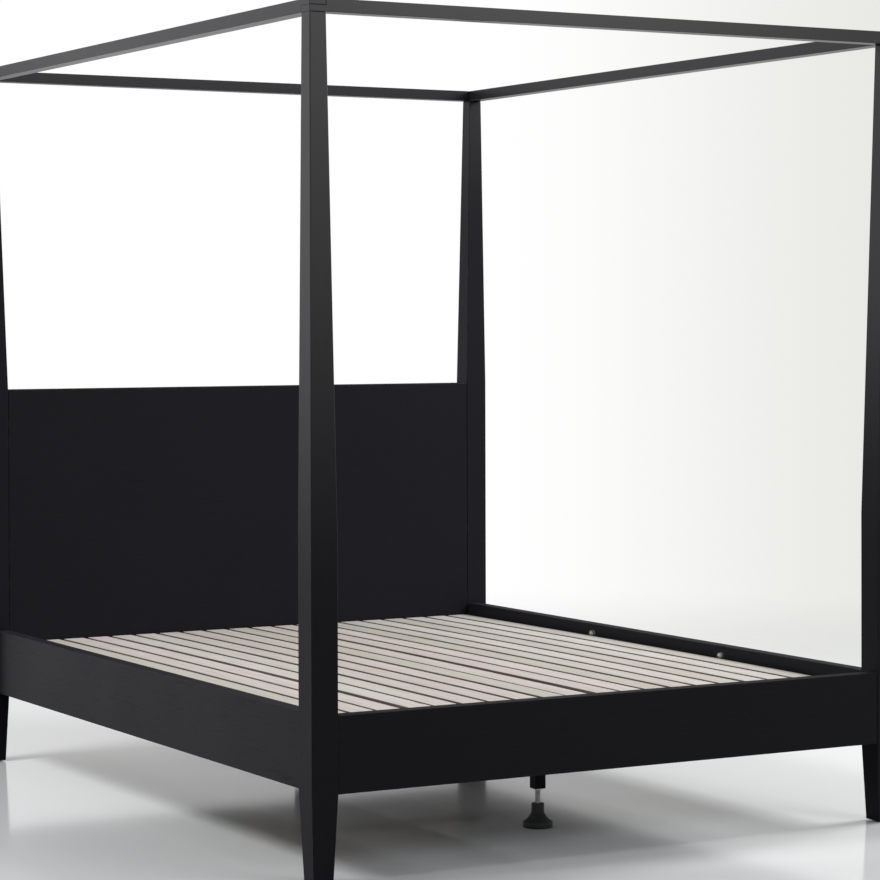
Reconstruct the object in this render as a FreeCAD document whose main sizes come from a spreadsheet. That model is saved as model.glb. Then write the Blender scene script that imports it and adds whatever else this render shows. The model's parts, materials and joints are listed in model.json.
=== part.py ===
import FreeCAD, Part
import math
import os
import re
import Sketcher

# Canopy bed, in millimetres. +X is the right side, +Y the head end, +Z up.
# The origin is the middle of the footprint, on the floor.

os.makedirs("parts", exist_ok=True)
doc = FreeCAD.newDocument("canopy_bed")
sizes = doc.addObject("Spreadsheet::Sheet", "sizes")

# Driving dimensions
driving = {
    # Whole bed
    "bed_width": 1676,
    "bed_length": 2150,
    "bed_height": 2010,
    # Posts
    "post_width": 68,
    "post_top_width": 42,
    "post_foot_width": 51,
    "foot_post_taper_start": 785,
    # Rails round the mattress
    "rail_top": 383,
    "rail_height": 180,
    "rail_thickness": 38,
    "side_rail_setback": 28,
    "foot_rail_setback": 1.5,
    # Headboard
    "headboard_top": 1083,
    "headboard_bottom": 335,
    "headboard_thickness": 30,
    "headboard_rail_gap": 2,
    # Canopy
    "canopy_height": 31,
    # Slat deck
    "slat_count": 20,
    "slat_gap": 15,
    "slat_side_clearance": 0.75,
    "slat_thickness": 12,
    "slat_drop": 31,
    "slat_camber": 4,
    "slat_end_gap": 5,
    "tape_width": 30,
    "tape_thickness": 1,
    # Ledges under the slat ends
    "ledge_depth": 35,
    "ledge_height": 32,
    # Beams under the slats
    "beam_width": 45,
    "crossbeam_height": 55,
    "crossbeam_spread": 328,
    "crossbeam_shift": 45,
    "centre_beam_height": 60,
    # Sheet steel brackets
    "bracket_thickness": 3,
    "bracket_shelf": 40,
    "hanger_width": 44,
    "hanger_bottom": 240,
    "hanger_shoulder": 300,
    "hanger_eye_radius": 12,
    "hanger_bolt_drop": 29,
    "hanger_bolt_length": 28,
    "hanger_bolt_head_radius": 11.5,
    "hanger_bolt_head": 12.5,
    "hanger_screw_rise": 12,
    "bracket_width": 84,
    "bracket_bottom": 206,
    "bracket_top": 283,
    "bracket_screw_spread": 31,
    # Centre legs and levelling feet
    "leg_width": 30,
    "leg_bottom": 98,
    "leg_inset": 352,
    "leg_bore_top": 170,
    "insert_radius": 9.5,
    "insert_length": 25,
    "insert_flange_radius": 12.5,
    "insert_flange": 2.5,
    "rod_radius": 7,
    "rod_bottom": 12,
    "rod_top": 135,
    "pad_radius": 38,
    "pad_rim": 15,
    "pad_shoulder": 38,
    "pad_neck": 61,
    "pad_neck_radius": 16.5,
    "pad_flare_radius": 38,
    # Rail bolts with their pockets
    "bolt_radius": 4,
    "bolt_in_post": 45,
    "bolt_in_rail": 50,
    "bolt_in_pocket": 16,
    "pocket_length": 34,
    "pocket_height": 26,
    "pocket_depth": 28,
    "washer_radius": 8,
    "washer_thickness": 2,
    "nut_radius": 7.5,
    "nut_height": 6.5,
    "side_bolt_low": 45,
    "side_bolt_high": 112,
    "end_bolt_low": 25,
    "end_bolt_high": 60,
    # Canopy corner screws and dowels
    "corner_screw_radius": 3.5,
    "corner_screw_depth": 45,
    "corner_screw_head_radius": 5.5,
    "corner_screw_head": 3,
    "corner_dowel_radius": 4,
    "corner_dowel_length": 44,
    "corner_dowel_in_post": 20,
    "corner_dowel_offset": 11,
    # Headboard dowels
    "panel_dowel_radius": 5,
    "panel_dowel_length": 60,
    "panel_dowel_count": 3,
    "panel_dowel_inset": 100,
    # Small screws
    "ledge_screw_radius": 2.5,
    "ledge_screw_length": 62,
    "ledge_screw_count": 4,
    "ledge_screw_inset": 79.6,
    "bracket_screw_radius": 2.5,
    "bracket_screw_length": 30,
    "screw_head_radius": 5,
    "screw_head_height": 2.5,
    "lag_screw_length": 90,
    "lag_head_height": 5.5,
    # Floor glides
    "glide_radius": 12,
    "glide_height": 3,
    "glide_nail_radius": 1.5,
    "glide_nail_length": 15,
    # Clearances
    "butt_gap": 0.2,
    "seat_gap": 0.2,
    "deck_gap": 0.6,
    "hole_clearance": 0.25,
    "thread_clearance": 0.05,
    "end_gap": 0.3,
    "overrun": 5,
}
for row, (alias, value) in enumerate(driving.items(), start=1):
    sizes.set(f"A{row}", alias)
    sizes.set(f"B{row}", str(value))
    sizes.setAlias(f"B{row}", alias)
doc.recompute()


# Plain words in a formula stand for cells of the sheet
def cells(formula):
    return re.sub(r"[a-z]\w*", lambda word: "sizes." + word[0] if word[0] in driving else word[0], formula)


def bind(obj, prop, formula):
    obj.setExpression(prop, cells(formula))


# Derived sizes and places, as formulas
rail_bottom = "(rail_top - rail_height)"
head_rail_height = f"(headboard_bottom - headboard_rail_gap - {rail_bottom})"
between_posts = "(bed_width - 2 * post_width)"
side_rail_length = "(bed_length - 2 * post_width - 2 * butt_gap)"
end_rail_length = "(bed_width - 2 * post_width - 2 * butt_gap)"
side_rail_inner = "(bed_width / 2 - side_rail_setback - rail_thickness)"
side_rail_middle = "(bed_width / 2 - side_rail_setback - rail_thickness / 2)"
head_face = "(bed_length / 2 - post_width)"
head_rail_middle = "(bed_length / 2 - post_width + rail_thickness / 2)"
foot_rail_middle = "(bed_length / 2 - foot_rail_setback - rail_thickness / 2)"
foot_face = "(bed_length / 2 - foot_rail_setback - rail_thickness)"
deck_middle = f"(({head_face} - {foot_face}) / 2)"
slat_length = f"({head_face} + {foot_face} - 2 * slat_end_gap)"
slat_radius = f"({slat_length} * {slat_length} / (8 * slat_camber) + slat_camber / 2)"
slat_side_gap = "(bracket_thickness + butt_gap + hanger_bolt_head + slat_side_clearance)"
slat_row = f"(2 * {side_rail_inner} - 2 * {slat_side_gap} + slat_gap)"
slat_pitch = f"({slat_row} / slat_count)"
slat_width = f"({slat_pitch} - slat_gap)"
slat_top = "(rail_top - slat_drop)"
slat_underside = "(rail_top - slat_drop - slat_thickness)"
deck_width = f"({slat_row} - slat_gap)"
ledge_top = f"({slat_underside} - slat_camber - seat_gap)"
ledge_length = f"({end_rail_length} - 2 * butt_gap)"
crossbeam_centre = f"({deck_middle} - crossbeam_shift)"
beam_reach = "(crossbeam_shift + crossbeam_spread + beam_width / 2)"
crossbeam_top = f"({slat_underside} - {beam_reach} * {beam_reach} / (2 * {slat_radius}) - deck_gap)"
crossbeam_bottom = f"({crossbeam_top} - crossbeam_height)"
crossbeam_length = f"(2 * ({side_rail_inner} - bracket_thickness - end_gap))"
centre_beam_top = f"({crossbeam_bottom} - seat_gap)"
centre_beam_bottom = f"({centre_beam_top} - centre_beam_height)"
centre_beam_length = f"({head_face} + {foot_face} - 2 * bracket_thickness - 2 * end_gap)"
leg_spread = f"({centre_beam_length} / 2 - leg_inset)"
canopy_bottom = "(bed_height - canopy_height)"
lap_height = "(canopy_height / 2 - butt_gap / 2)"
canopy_middle_x = "(bed_width / 2 - post_top_width / 2)"
canopy_middle_y = "(bed_length / 2 - post_top_width / 2)"
post_middle_x = "(bed_width / 2 - post_width / 2)"
post_middle_y = "(bed_length / 2 - post_width / 2)"
hanger_bolt_height = "(rail_top - hanger_bolt_drop)"
hanger_screw_height = "(hanger_bottom + hanger_screw_rise)"
bracket_screw_height = "((bracket_bottom + bracket_top) / 2)"
ledge_screw_spacing = f"(({ledge_length} - 2 * ledge_screw_inset) / (ledge_screw_count - 1))"
ledge_screw_places = [f"({index} - (ledge_screw_count - 1) / 2) * {ledge_screw_spacing}"
                      for index in range(driving["ledge_screw_count"])]
panel_height = "(headboard_top - headboard_bottom)"
panel_dowel_spacing = f"(({panel_height} - 2 * panel_dowel_inset) / (panel_dowel_count - 1))"
panel_dowel_heights = [f"(headboard_bottom + panel_dowel_inset + {index} * {panel_dowel_spacing})"
                       for index in range(driving["panel_dowel_count"])]

# Places of the woven tapes along the deck, as shares of the crossbeams' spread from its middle
tape_shares = [1.22, 0.72, 0.35, -0.32]

# How far a slat's foot end lies from its line, as shares of the pitch, and a slight play elsewhere
foot_end_lie_shares = {4: -0.09, 5: 0.06, 11: -0.12, 12: 0.09}
small_lie_share = 0.02
lie_rhythm = 2.3

SIDES = {"left": -1, "right": 1}
ENDS = {"foot": -1, "head": 1}
CORNERS = [(side, end) for side in (-1, 1) for end in (-1, 1)]
TURNS = {
    "x": FreeCAD.Rotation(FreeCAD.Vector(0, 1, 0), 90),
    "-x": FreeCAD.Rotation(FreeCAD.Vector(0, 1, 0), -90),
    "y": FreeCAD.Rotation(FreeCAD.Vector(1, 0, 0), -90),
    "-y": FreeCAD.Rotation(FreeCAD.Vector(1, 0, 0), 90),
    "z": FreeCAD.Rotation(),
    "-z": FreeCAD.Rotation(FreeCAD.Vector(1, 0, 0), 180),
}
nodes = []


# A finished sub-part keeps its label and joins the export list
def finish(obj, label):
    obj.Label = label
    nodes.append(obj)
    return obj


def place(obj, x, y, z):
    for axis, formula in zip("xyz", (x, y, z)):
        bind(obj, f"Placement.Base.{axis}", formula)


# Solid box given by its size and its middle
def box(name, size, middle):
    obj = doc.addObject("Part::Box", name)
    for prop, formula in zip(("Length", "Width", "Height"), size):
        bind(obj, prop, formula)
    place(obj, *[f"({at}) - ({length}) / 2" for at, length in zip(middle, size)])
    return obj


# Cylinder that starts at a point and runs along an axis
def cylinder(name, radius, length, start, towards, angle=360):
    obj = doc.addObject("Part::Cylinder", name)
    obj.Placement = FreeCAD.Placement(FreeCAD.Vector(), TURNS[towards])
    bind(obj, "Radius", radius)
    bind(obj, "Height", length)
    obj.Angle = angle
    place(obj, *start)
    return obj


# Six-sided prism that starts at a point and runs along an axis
def hexagon(name, radius, length, start, towards):
    obj = doc.addObject("Part::Prism", name)
    obj.Polygon = 6
    obj.Placement = FreeCAD.Placement(FreeCAD.Vector(), TURNS[towards])
    bind(obj, "Circumradius", radius)
    bind(obj, "Height", length)
    place(obj, *start)
    return obj


def fuse(name, pieces):
    obj = doc.addObject("Part::MultiFuse", name)
    obj.Shapes = pieces
    return obj


def cut(name, base, tools):
    obj = doc.addObject("Part::Cut", name)
    obj.Base = base
    obj.Tool = tools[0] if len(tools) == 1 else fuse(name + "_tools", tools)
    return obj


def group(name, pieces):
    obj = doc.addObject("Part::Compound", name)
    obj.Links = pieces
    return obj


# Sketch on one of the body's own origin planes, moved by an offset
def sketch_on(body, role, name, offset):
    plane = [item for item in body.Origin.OriginFeatures if item.Role == role][0]
    sketch = body.newObject("Sketcher::SketchObject", name)
    sketch.AttachmentSupport = [(plane, "")]
    sketch.MapMode = "FlatFace"
    for axis, formula in zip("xyz", offset):
        bind(sketch, f"AttachmentOffset.Base.{axis}", formula)
    return sketch


# Rectangle centred on the sketch's origin
def rectangle(sketch, width, height):
    start = driving["post_width"]
    corners = [(-start, -start), (start, -start), (start, start), (-start, start)]
    points = [FreeCAD.Vector(x, y, 0) for x, y in corners]
    for index in range(4):
        sketch.addGeometry(Part.LineSegment(points[index], points[(index + 1) % 4]), False)
    for index in range(4):
        sketch.addConstraint(Sketcher.Constraint("Coincident", index, 2, (index + 1) % 4, 1))
    for index in (0, 2):
        sketch.addConstraint(Sketcher.Constraint("Horizontal", index))
    for index in (1, 3):
        sketch.addConstraint(Sketcher.Constraint("Vertical", index))
    sketch.addConstraint(Sketcher.Constraint("Symmetric", 0, 1, 2, 1, -1, 1))
    sketch.addConstraint(Sketcher.Constraint("DistanceX", 0, 1, 0, 2, 2 * start))
    sketch.renameConstraint(sketch.ConstraintCount - 1, "width")
    sketch.addConstraint(Sketcher.Constraint("DistanceY", 1, 1, 1, 2, 2 * start))
    sketch.renameConstraint(sketch.ConstraintCount - 1, "height")
    bind(sketch, "Constraints.width", width)
    bind(sketch, "Constraints.height", height)


# Circle centred on the sketch's origin
def circle(sketch, radius):
    start = driving["bolt_radius"]
    sketch.addGeometry(Part.Circle(FreeCAD.Vector(), FreeCAD.Vector(0, 0, 1), start), False)
    sketch.addConstraint(Sketcher.Constraint("Coincident", 0, 3, -1, 1))
    sketch.addConstraint(Sketcher.Constraint("Radius", 0, start))
    sketch.renameConstraint(sketch.ConstraintCount - 1, "radius")
    bind(sketch, "Constraints.radius", radius)


def pad(body, sketch, length, midplane=False):
    feature = body.newObject("PartDesign::Pad", sketch.Name + "_pad")
    feature.Profile = sketch
    feature.Midplane = midplane
    bind(feature, "Length", length)
    sketch.Visibility = False
    body.Tip = feature
    return feature


# Pocket that must take wood away, so its volume is checked
def pocket(body, sketch, length, backwards=False):
    doc.recompute()
    before = body.Shape.Volume
    smallest = math.pi * driving["glide_nail_radius"] ** 2 * driving["end_gap"]
    feature = body.newObject("PartDesign::Pocket", sketch.Name + "_pocket")
    feature.Profile = sketch
    feature.Reversed = backwards
    bind(feature, "Length", length)
    sketch.Visibility = False
    body.Tip = feature
    doc.recompute()
    if body.Shape.Volume > before - smallest:
        raise RuntimeError("nothing was cut by " + feature.Name)
    return feature


# Post: tapered leg, straight middle, and a top drawn in on its two inner faces
def post(side_name, end_name):
    side = SIDES[side_name]
    end = ENDS[end_name]
    label = f"post_{end_name}_{side_name}"
    taper_start = "headboard_top" if end_name == "head" else "foot_post_taper_start"
    draw_in = "(post_width - post_top_width) / 2"
    body = doc.addObject("PartDesign::Body", label)
    sections = []
    levels = [
        ("foot", "post_foot_width", "0", "0", "glide_height"),
        ("knee", "post_width", "0", "0", rail_bottom),
        ("shoulder", "post_width", "0", "0", taper_start),
        ("top", "post_top_width", f"{side} * {draw_in}", f"{end} * {draw_in}", canopy_bottom),
    ]
    for name, width, x, y, z in levels:
        section = sketch_on(body, "XY_Plane", f"{label}_{name}", (x, y, z))
        rectangle(section, width, width)
        sections.append(section)
    loft = body.newObject("PartDesign::AdditiveLoft", label + "_loft")
    loft.Profile = sections[0]
    loft.Sections = sections[1:]
    loft.Ruled = True
    for section in sections:
        section.Visibility = False
    body.Tip = loft

    # Holes for the bolts of the side rail, drilled along Y
    local_x = f"{side} * (post_width / 2 - side_rail_setback - rail_thickness / 2)"
    for name, height in (("low", "side_bolt_low"), ("high", "side_bolt_high")):
        z = f"{rail_bottom} + {height}"
        face = f"{end} * (post_width / 2 + overrun)"
        hole = sketch_on(body, "XZ_Plane", f"{label}_side_{name}", (local_x, z, face))
        circle(hole, "bolt_radius + thread_clearance")
        pocket(body, hole, "bolt_in_post + overrun + thread_clearance", backwards=end == -1)

    # Holes for the bolts of the end rail, drilled along X
    middle = head_rail_middle if end_name == "head" else foot_rail_middle
    local_y = f"{end} * ({middle} - {post_middle_y})"
    for name, height in (("low", "end_bolt_low"), ("high", "end_bolt_high")):
        z = f"{rail_bottom} + {height}"
        face = f"{-side} * (post_width / 2 + overrun)"
        hole = sketch_on(body, "YZ_Plane", f"{label}_end_{name}", (local_y, z, face))
        circle(hole, "bolt_radius + thread_clearance")
        pocket(body, hole, "bolt_in_post + overrun + thread_clearance", backwards=side == 1)

    # Dowel holes for the headboard panel
    if end_name == "head":
        local_y = f"{head_face} + headboard_thickness / 2 - {post_middle_y}"
        for index, z in enumerate(panel_dowel_heights):
            face = f"{-side} * (post_width / 2 + overrun)"
            hole = sketch_on(body, "YZ_Plane", f"{label}_dowel_{index}", (local_y, z, face))
            circle(hole, "panel_dowel_radius + hole_clearance")
            depth = "panel_dowel_length / 2 + overrun + hole_clearance"
            pocket(body, hole, depth, backwards=side == 1)

    # Holes in the top for the corner screw and dowel, and in the foot for the glide's nail
    dowel_x = f"{side} * ({draw_in} + corner_dowel_offset)"
    dowel_y = f"{end} * ({draw_in} + corner_dowel_offset)"
    top = f"{canopy_bottom} + overrun"
    drillings = [
        ("screw", f"{side} * {draw_in}", f"{end} * {draw_in}", top,
         "corner_screw_radius + thread_clearance", "corner_screw_depth + overrun + end_gap", False),
        ("dowel", dowel_x, dowel_y, top,
         "corner_dowel_radius + hole_clearance", "corner_dowel_in_post + overrun + end_gap", False),
        ("nail", "0", "0", "glide_height - overrun",
         "glide_nail_radius + thread_clearance", "glide_nail_length + overrun + end_gap", True),
    ]
    for name, x, y, z, radius, depth, backwards in drillings:
        hole = sketch_on(body, "XY_Plane", f"{label}_{name}", (x, y, z))
        circle(hole, radius)
        pocket(body, hole, depth, backwards)
    place(body, f"{side} * {post_middle_x}", f"{end} * {post_middle_y}", "0")
    return finish(body, label)


# Bolts, washers and nuts of every rail joint, filled in as the rails are made
rail_bolts = []
rail_washers = []
rail_nuts = []


# Bolt joint at one end of a rail: returns the cutters for the rail
def bolt_joint(name, along, sign, at, z, pocket_side):
    inward = {"x": {1: "-x", -1: "x"}, "y": {1: "-y", -1: "y"}}[along][sign]
    joint = "(bed_width / 2 - post_width)" if along == "x" else "(bed_length / 2 - post_width)"
    reach = "bolt_in_rail + bolt_in_pocket"

    def spot(distance, across="0"):
        far = f"{sign} * ({joint} - ({distance}))"
        side = f"{at} + {across}"
        return (far, side, z) if along == "x" else (side, far, z)

    # The bolt runs from inside the post to the nut in the pocket
    bolt_length = f"bolt_in_post + {reach}"
    rail_bolts.append(cylinder(f"{name}_bolt", "bolt_radius", bolt_length, spot("0 - bolt_in_post"), inward))
    washer_start = spot("bolt_in_rail + end_gap")
    washer = cylinder(f"{name}_disc", "washer_radius", "washer_thickness", washer_start, inward)
    washer_hole = cylinder(
        f"{name}_disc_hole", "bolt_radius + hole_clearance", "washer_thickness + 2 * overrun",
        spot("bolt_in_rail - overrun"), inward)
    rail_washers.append(cut(f"{name}_washer", washer, [washer_hole]))
    nut_start = spot("bolt_in_rail + 2 * end_gap + washer_thickness")
    nut = hexagon(f"{name}_hexagon", "nut_radius", "nut_height", nut_start, inward)
    nut_hole = cylinder(
        f"{name}_nut_hole", "bolt_radius + thread_clearance", "nut_height + 2 * overrun",
        spot("bolt_in_rail - overrun"), inward)
    rail_nuts.append(cut(f"{name}_nut", nut, [nut_hole]))

    # The rail gets a bore from its end and a pocket from its inner face
    bore = cylinder(f"{name}_bore", "bolt_radius + hole_clearance", "bolt_in_rail + 2 * overrun",
                    spot("0 - overrun"), inward)
    depth = "(pocket_depth + overrun)"
    shift = f"{pocket_side} * (rail_thickness / 2 - pocket_depth + {depth} / 2)"
    lengths = ("pocket_length", depth) if along == "x" else (depth, "pocket_length")
    hollow = box(f"{name}_pocket", (*lengths, "pocket_height"), spot("bolt_in_rail + pocket_length / 2", shift))
    return [bore, hollow]


# Side rails, set back from the posts' outer faces
def side_rail(side_name):
    side = SIDES[side_name]
    label = f"side_rail_{side_name}"
    middle = f"{side} * {side_rail_middle}"
    plank = box(label + "_plank", ("rail_thickness", side_rail_length, "rail_height"),
                (middle, "0", f"{rail_bottom} + rail_height / 2"))
    tools = []
    for end_name, end in ENDS.items():
        for level in ("low", "high"):
            tools += bolt_joint(f"{label}_{end_name}_{level}", "y", end, middle,
                                f"{rail_bottom} + side_bolt_{level}", -side)
    away = "x" if side == 1 else "-x"
    for sign in (-1, 1):
        x = f"{side} * ({side_rail_inner} - overrun)"
        y = f"{crossbeam_centre} + {sign} * crossbeam_spread"
        tools.append(cylinder(f"{label}_screw_pilot", "bracket_screw_radius + thread_clearance",
                              "bracket_screw_length - bracket_thickness + overrun + end_gap",
                              (x, y, hanger_screw_height), away))
        tools.append(cylinder(f"{label}_bolt_hole", "bolt_radius + thread_clearance",
                              "hanger_bolt_length - bracket_thickness + overrun + end_gap",
                              (x, y, hanger_bolt_height), away))
    return finish(cut(label, plank, tools), label)


# Head and foot rails between the posts
def end_rail(end_name, middle, height):
    end = ENDS[end_name]
    label = f"{end_name}_rail"
    at = f"{end} * {middle}"
    plank = box(label + "_plank", (end_rail_length, "rail_thickness", height),
                ("0", at, f"{rail_bottom} + {height} / 2"))
    tools = []
    for side_name, side in SIDES.items():
        for level in ("low", "high"):
            tools += bolt_joint(f"{label}_{side_name}_{level}", "x", side, at,
                                f"{rail_bottom} + end_bolt_{level}", -end)
    face = head_face if end_name == "head" else foot_face
    outward = "y" if end == 1 else "-y"
    near_face = f"{end} * ({face} - overrun)"
    for x in ledge_screw_places:
        depth = "ledge_screw_length - ledge_depth + overrun + end_gap"
        tools.append(cylinder(f"{label}_ledge_pilot", "ledge_screw_radius + thread_clearance", depth,
                              (x, near_face, f"{ledge_top} - ledge_height / 2"), outward))
    for sign in (-1, 1):
        depth = "bracket_screw_length - bracket_thickness + overrun + end_gap"
        tools.append(cylinder(f"{label}_bracket_pilot", "bracket_screw_radius + thread_clearance", depth,
                              (f"{sign} * bracket_screw_spread", near_face, bracket_screw_height), outward))
    return finish(cut(label, plank, tools), label)


# Ledge that carries the slat ends, screwed to the end rail
def ledge(end_name):
    end = ENDS[end_name]
    label = f"slat_ledge_{end_name}"
    face = head_face if end_name == "head" else foot_face
    middle = f"{end} * ({face} - butt_gap - ledge_depth / 2)"
    height = f"{ledge_top} - ledge_height / 2"
    strip = box(label + "_strip", (ledge_length, "ledge_depth", "ledge_height"), ("0", middle, height))
    tools = []
    for x in ledge_screw_places:
        start = f"{end} * ({face} - ledge_depth - overrun)"
        tools.append(cylinder(f"{label}_hole", "ledge_screw_radius + hole_clearance",
                              "ledge_depth + 2 * overrun", (x, start, height), "y" if end == 1 else "-y"))
    return finish(cut(label, strip, tools), label)


# Headboard panel with its dowel holes
def headboard():
    label = "headboard_panel"
    body = doc.addObject("PartDesign::Body", label)
    face = sketch_on(body, "XZ_Plane", label + "_face", ("0", "0", "0"))
    rectangle(face, end_rail_length, panel_height)
    pad(body, face, "headboard_thickness", midplane=True)
    middle_height = "(headboard_top + headboard_bottom) / 2"
    for side_name, side in SIDES.items():
        for index, height in enumerate(panel_dowel_heights):
            edge = f"{side} * ({end_rail_length} / 2 + overrun)"
            hole = sketch_on(body, "YZ_Plane", f"{label}_{side_name}_{index}",
                             ("0", f"{height} - {middle_height}", edge))
            circle(hole, "panel_dowel_radius + hole_clearance")
            depth = "panel_dowel_length / 2 + overrun + hole_clearance"
            pocket(body, hole, depth, backwards=side == -1)
    place(body, "0", f"{head_face} + headboard_thickness / 2", middle_height)
    return finish(body, label)


# Canopy rail: side rails keep the upper half of each corner lap, end rails the lower half
def canopy_rail(name, along, sign):
    label = f"canopy_rail_{name}"
    middle_height = f"({canopy_bottom} + canopy_height / 2)"
    lap = f"({lap_height} + butt_gap + overrun)"
    if along == "y":
        size = ("post_top_width", "bed_length", "canopy_height")
        middle = (f"{sign} * {canopy_middle_x}", "0", middle_height)
        lap_middle = f"{canopy_bottom} + {lap_height} + butt_gap - {lap} / 2"
    else:
        size = ("bed_width", "post_top_width", "canopy_height")
        middle = ("0", f"{sign} * {canopy_middle_y}", middle_height)
        lap_middle = f"bed_height - {lap_height} - butt_gap + {lap} / 2"
    bar = box(label + "_bar", size, middle)
    tools = []
    for far in (-1, 1):
        side, end = (sign, far) if along == "y" else (far, sign)
        x = f"{side} * {canopy_middle_x}"
        y = f"{end} * {canopy_middle_y}"
        # The lap cutter runs past the rail's sides and its end
        wide = "(post_top_width + 2 * overrun)"
        reach = "(post_top_width + butt_gap + overrun)"
        if along == "y":
            lap_size = (wide, reach, lap)
            lap_place = (x, f"{far} * (bed_length / 2 + overrun - {reach} / 2)", lap_middle)
        else:
            lap_size = (reach, wide, lap)
            lap_place = (f"{far} * (bed_width / 2 + overrun - {reach} / 2)", y, lap_middle)
        tools.append(box(f"{label}_lap", lap_size, lap_place))
        tools.append(cylinder(f"{label}_screw_hole", "corner_screw_radius + hole_clearance",
                              "canopy_height + 2 * overrun", (x, y, f"{canopy_bottom} - overrun"), "z"))
        if along == "y":
            tools.append(cylinder(f"{label}_screw_seat", "corner_screw_head_radius + hole_clearance",
                                  "corner_screw_head + end_gap + overrun",
                                  (x, y, "bed_height - corner_screw_head - end_gap"), "z"))
        tools.append(cylinder(f"{label}_dowel_hole", "corner_dowel_radius + hole_clearance",
                              "corner_dowel_length - corner_dowel_in_post + overrun + end_gap",
                              (f"{x} + {side} * corner_dowel_offset", f"{y} + {end} * corner_dowel_offset",
                               f"{canopy_bottom} - overrun"), "z"))
    return finish(cut(label, bar, tools), label)


# Slat with a gentle crown along its length; its foot end lies a little to one side
def slat(index):
    label = f"slat_{index + 1:02d}"
    body = doc.addObject("PartDesign::Body", label)
    profile = sketch_on(body, "YZ_Plane", label + "_profile", ("0", "0", "0"))
    length = driving["bed_length"]
    camber = driving["slat_camber"]
    thickness = driving["slat_thickness"]
    radius = length ** 2 / (8 * camber) + camber / 2
    swing = math.asin(length / 2 / radius)
    across = FreeCAD.Vector(0, 0, 1)
    for drop in (0, thickness):
        crown = Part.Circle(FreeCAD.Vector(0, -radius - drop, 0), across, radius)
        profile.addGeometry(Part.ArcOfCircle(crown, math.pi / 2 - swing, math.pi / 2 + swing), False)
    for x in (length / 2, -length / 2):
        start = FreeCAD.Vector(x, -camber, 0)
        profile.addGeometry(Part.LineSegment(start, start - FreeCAD.Vector(0, thickness, 0)), False)
    constraints = [
        ("Coincident", 0, 1, 2, 1), ("Coincident", 2, 2, 1, 1),
        ("Coincident", 0, 2, 3, 1), ("Coincident", 3, 2, 1, 2),
        ("Vertical", 2), ("Vertical", 3), ("Equal", 2, 3), ("Equal", 0, 1),
        ("Symmetric", 0, 1, 0, 2, -2), ("PointOnObject", -1, 1, 0),
    ]
    for constraint in constraints:
        profile.addConstraint(Sketcher.Constraint(*constraint))
    named = [
        ("length", ("DistanceX", 0, 2, 0, 1, length), slat_length),
        ("camber", ("DistanceY", 0, 1, -1, 1, camber), "slat_camber"),
        ("thickness", ("DistanceY", 2, 2, 2, 1, thickness), "slat_thickness"),
    ]
    for name, constraint, formula in named:
        profile.addConstraint(Sketcher.Constraint(*constraint))
        profile.renameConstraint(profile.ConstraintCount - 1, name)
        bind(profile, f"Constraints.{name}", formula)
    pad(body, profile, slat_width, midplane=True)
    share = foot_end_lie_shares.get(index + 1, small_lie_share * math.sin(lie_rhythm * index))
    lie = f"({share:.4f} * {slat_pitch})"
    body.Placement = FreeCAD.Placement(FreeCAD.Vector(), FreeCAD.Rotation(FreeCAD.Vector(0, 0, 1), 0))
    bind(body, "Placement.Rotation.Angle", f"atan({lie} / {slat_length})")
    place(body, f"({index} - (slat_count - 1) / 2) * {slat_pitch} + {lie} / 2", deck_middle, slat_top)
    return finish(body, label)


# Woven tapes across the undersides of the slats
def tapes():
    strips = []
    for index, share in enumerate(tape_shares):
        away = f"({share} * crossbeam_spread)"
        far = f"(abs{away} + tape_width / 2)"
        drop = f"{far} * {far} / (2 * {slat_radius})"
        middle = ("0", f"{deck_middle} + {away}",
                  f"{slat_underside} - {drop} - tape_thickness / 2 - deck_gap")
        strips.append(box(f"tape_{index}", (deck_width, "tape_width", "tape_thickness"), middle))
    return finish(group("slat_tapes", strips), "slat_tapes")


# Hanger that carries one end of a crossbeam: its eye hangs on a dome-headed bolt
def crossbeam_hanger(side, sign):
    name = f"hanger_{'right' if side == 1 else 'left'}_{'head' if sign == 1 else 'foot'}"
    y = f"{crossbeam_centre} + {sign} * crossbeam_spread"
    x = f"{side} * ({side_rail_inner} - butt_gap - bracket_thickness / 2)"
    away = "x" if side == 1 else "-x"
    plate_height = "(hanger_shoulder - hanger_bottom)"
    plate = box(name + "_plate", ("bracket_thickness", "hanger_width", plate_height),
                (x, y, f"hanger_bottom + {plate_height} / 2"))
    neck_height = f"({hanger_bolt_height} - hanger_bottom)"
    neck = box(name + "_neck", ("bracket_thickness", "2 * hanger_eye_radius", neck_height),
               (x, y, f"hanger_bottom + {neck_height} / 2"))
    eye = cylinder(name + "_eye", "hanger_eye_radius", "bracket_thickness",
                   (f"{x} - {side} * bracket_thickness / 2", y, hanger_bolt_height), away)
    shelf_middle = f"{side} * ({side_rail_inner} - butt_gap - bracket_shelf / 2)"
    shelf = box(name + "_shelf", ("bracket_shelf", "hanger_width", "bracket_thickness"),
                (shelf_middle, y, f"{crossbeam_bottom} - seat_gap - bracket_thickness / 2"))
    start = f"{side} * ({side_rail_inner} - bracket_thickness - overrun)"
    screw_hole = cylinder(name + "_screw_hole", "bracket_screw_radius + hole_clearance",
                          "bracket_thickness + 2 * overrun", (start, y, hanger_screw_height), away)
    bolt_hole = cylinder(name + "_bolt_hole", "bolt_radius + hole_clearance",
                         "bracket_thickness + 2 * overrun", (start, y, hanger_bolt_height), away)
    head_seat = f"{side} * ({side_rail_inner} - bracket_thickness - butt_gap - thread_clearance)"
    bracket_screws.append(screw(name + "_screw", (head_seat, y, hanger_screw_height), away, "bracket_screw"))
    hanger_bolts.append(dome_bolt(name + "_bolt", (head_seat, y, hanger_bolt_height), side))
    return cut(name, fuse(name + "_blank", [plate, neck, eye, shelf]), [screw_hole, bolt_hole])


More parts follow.
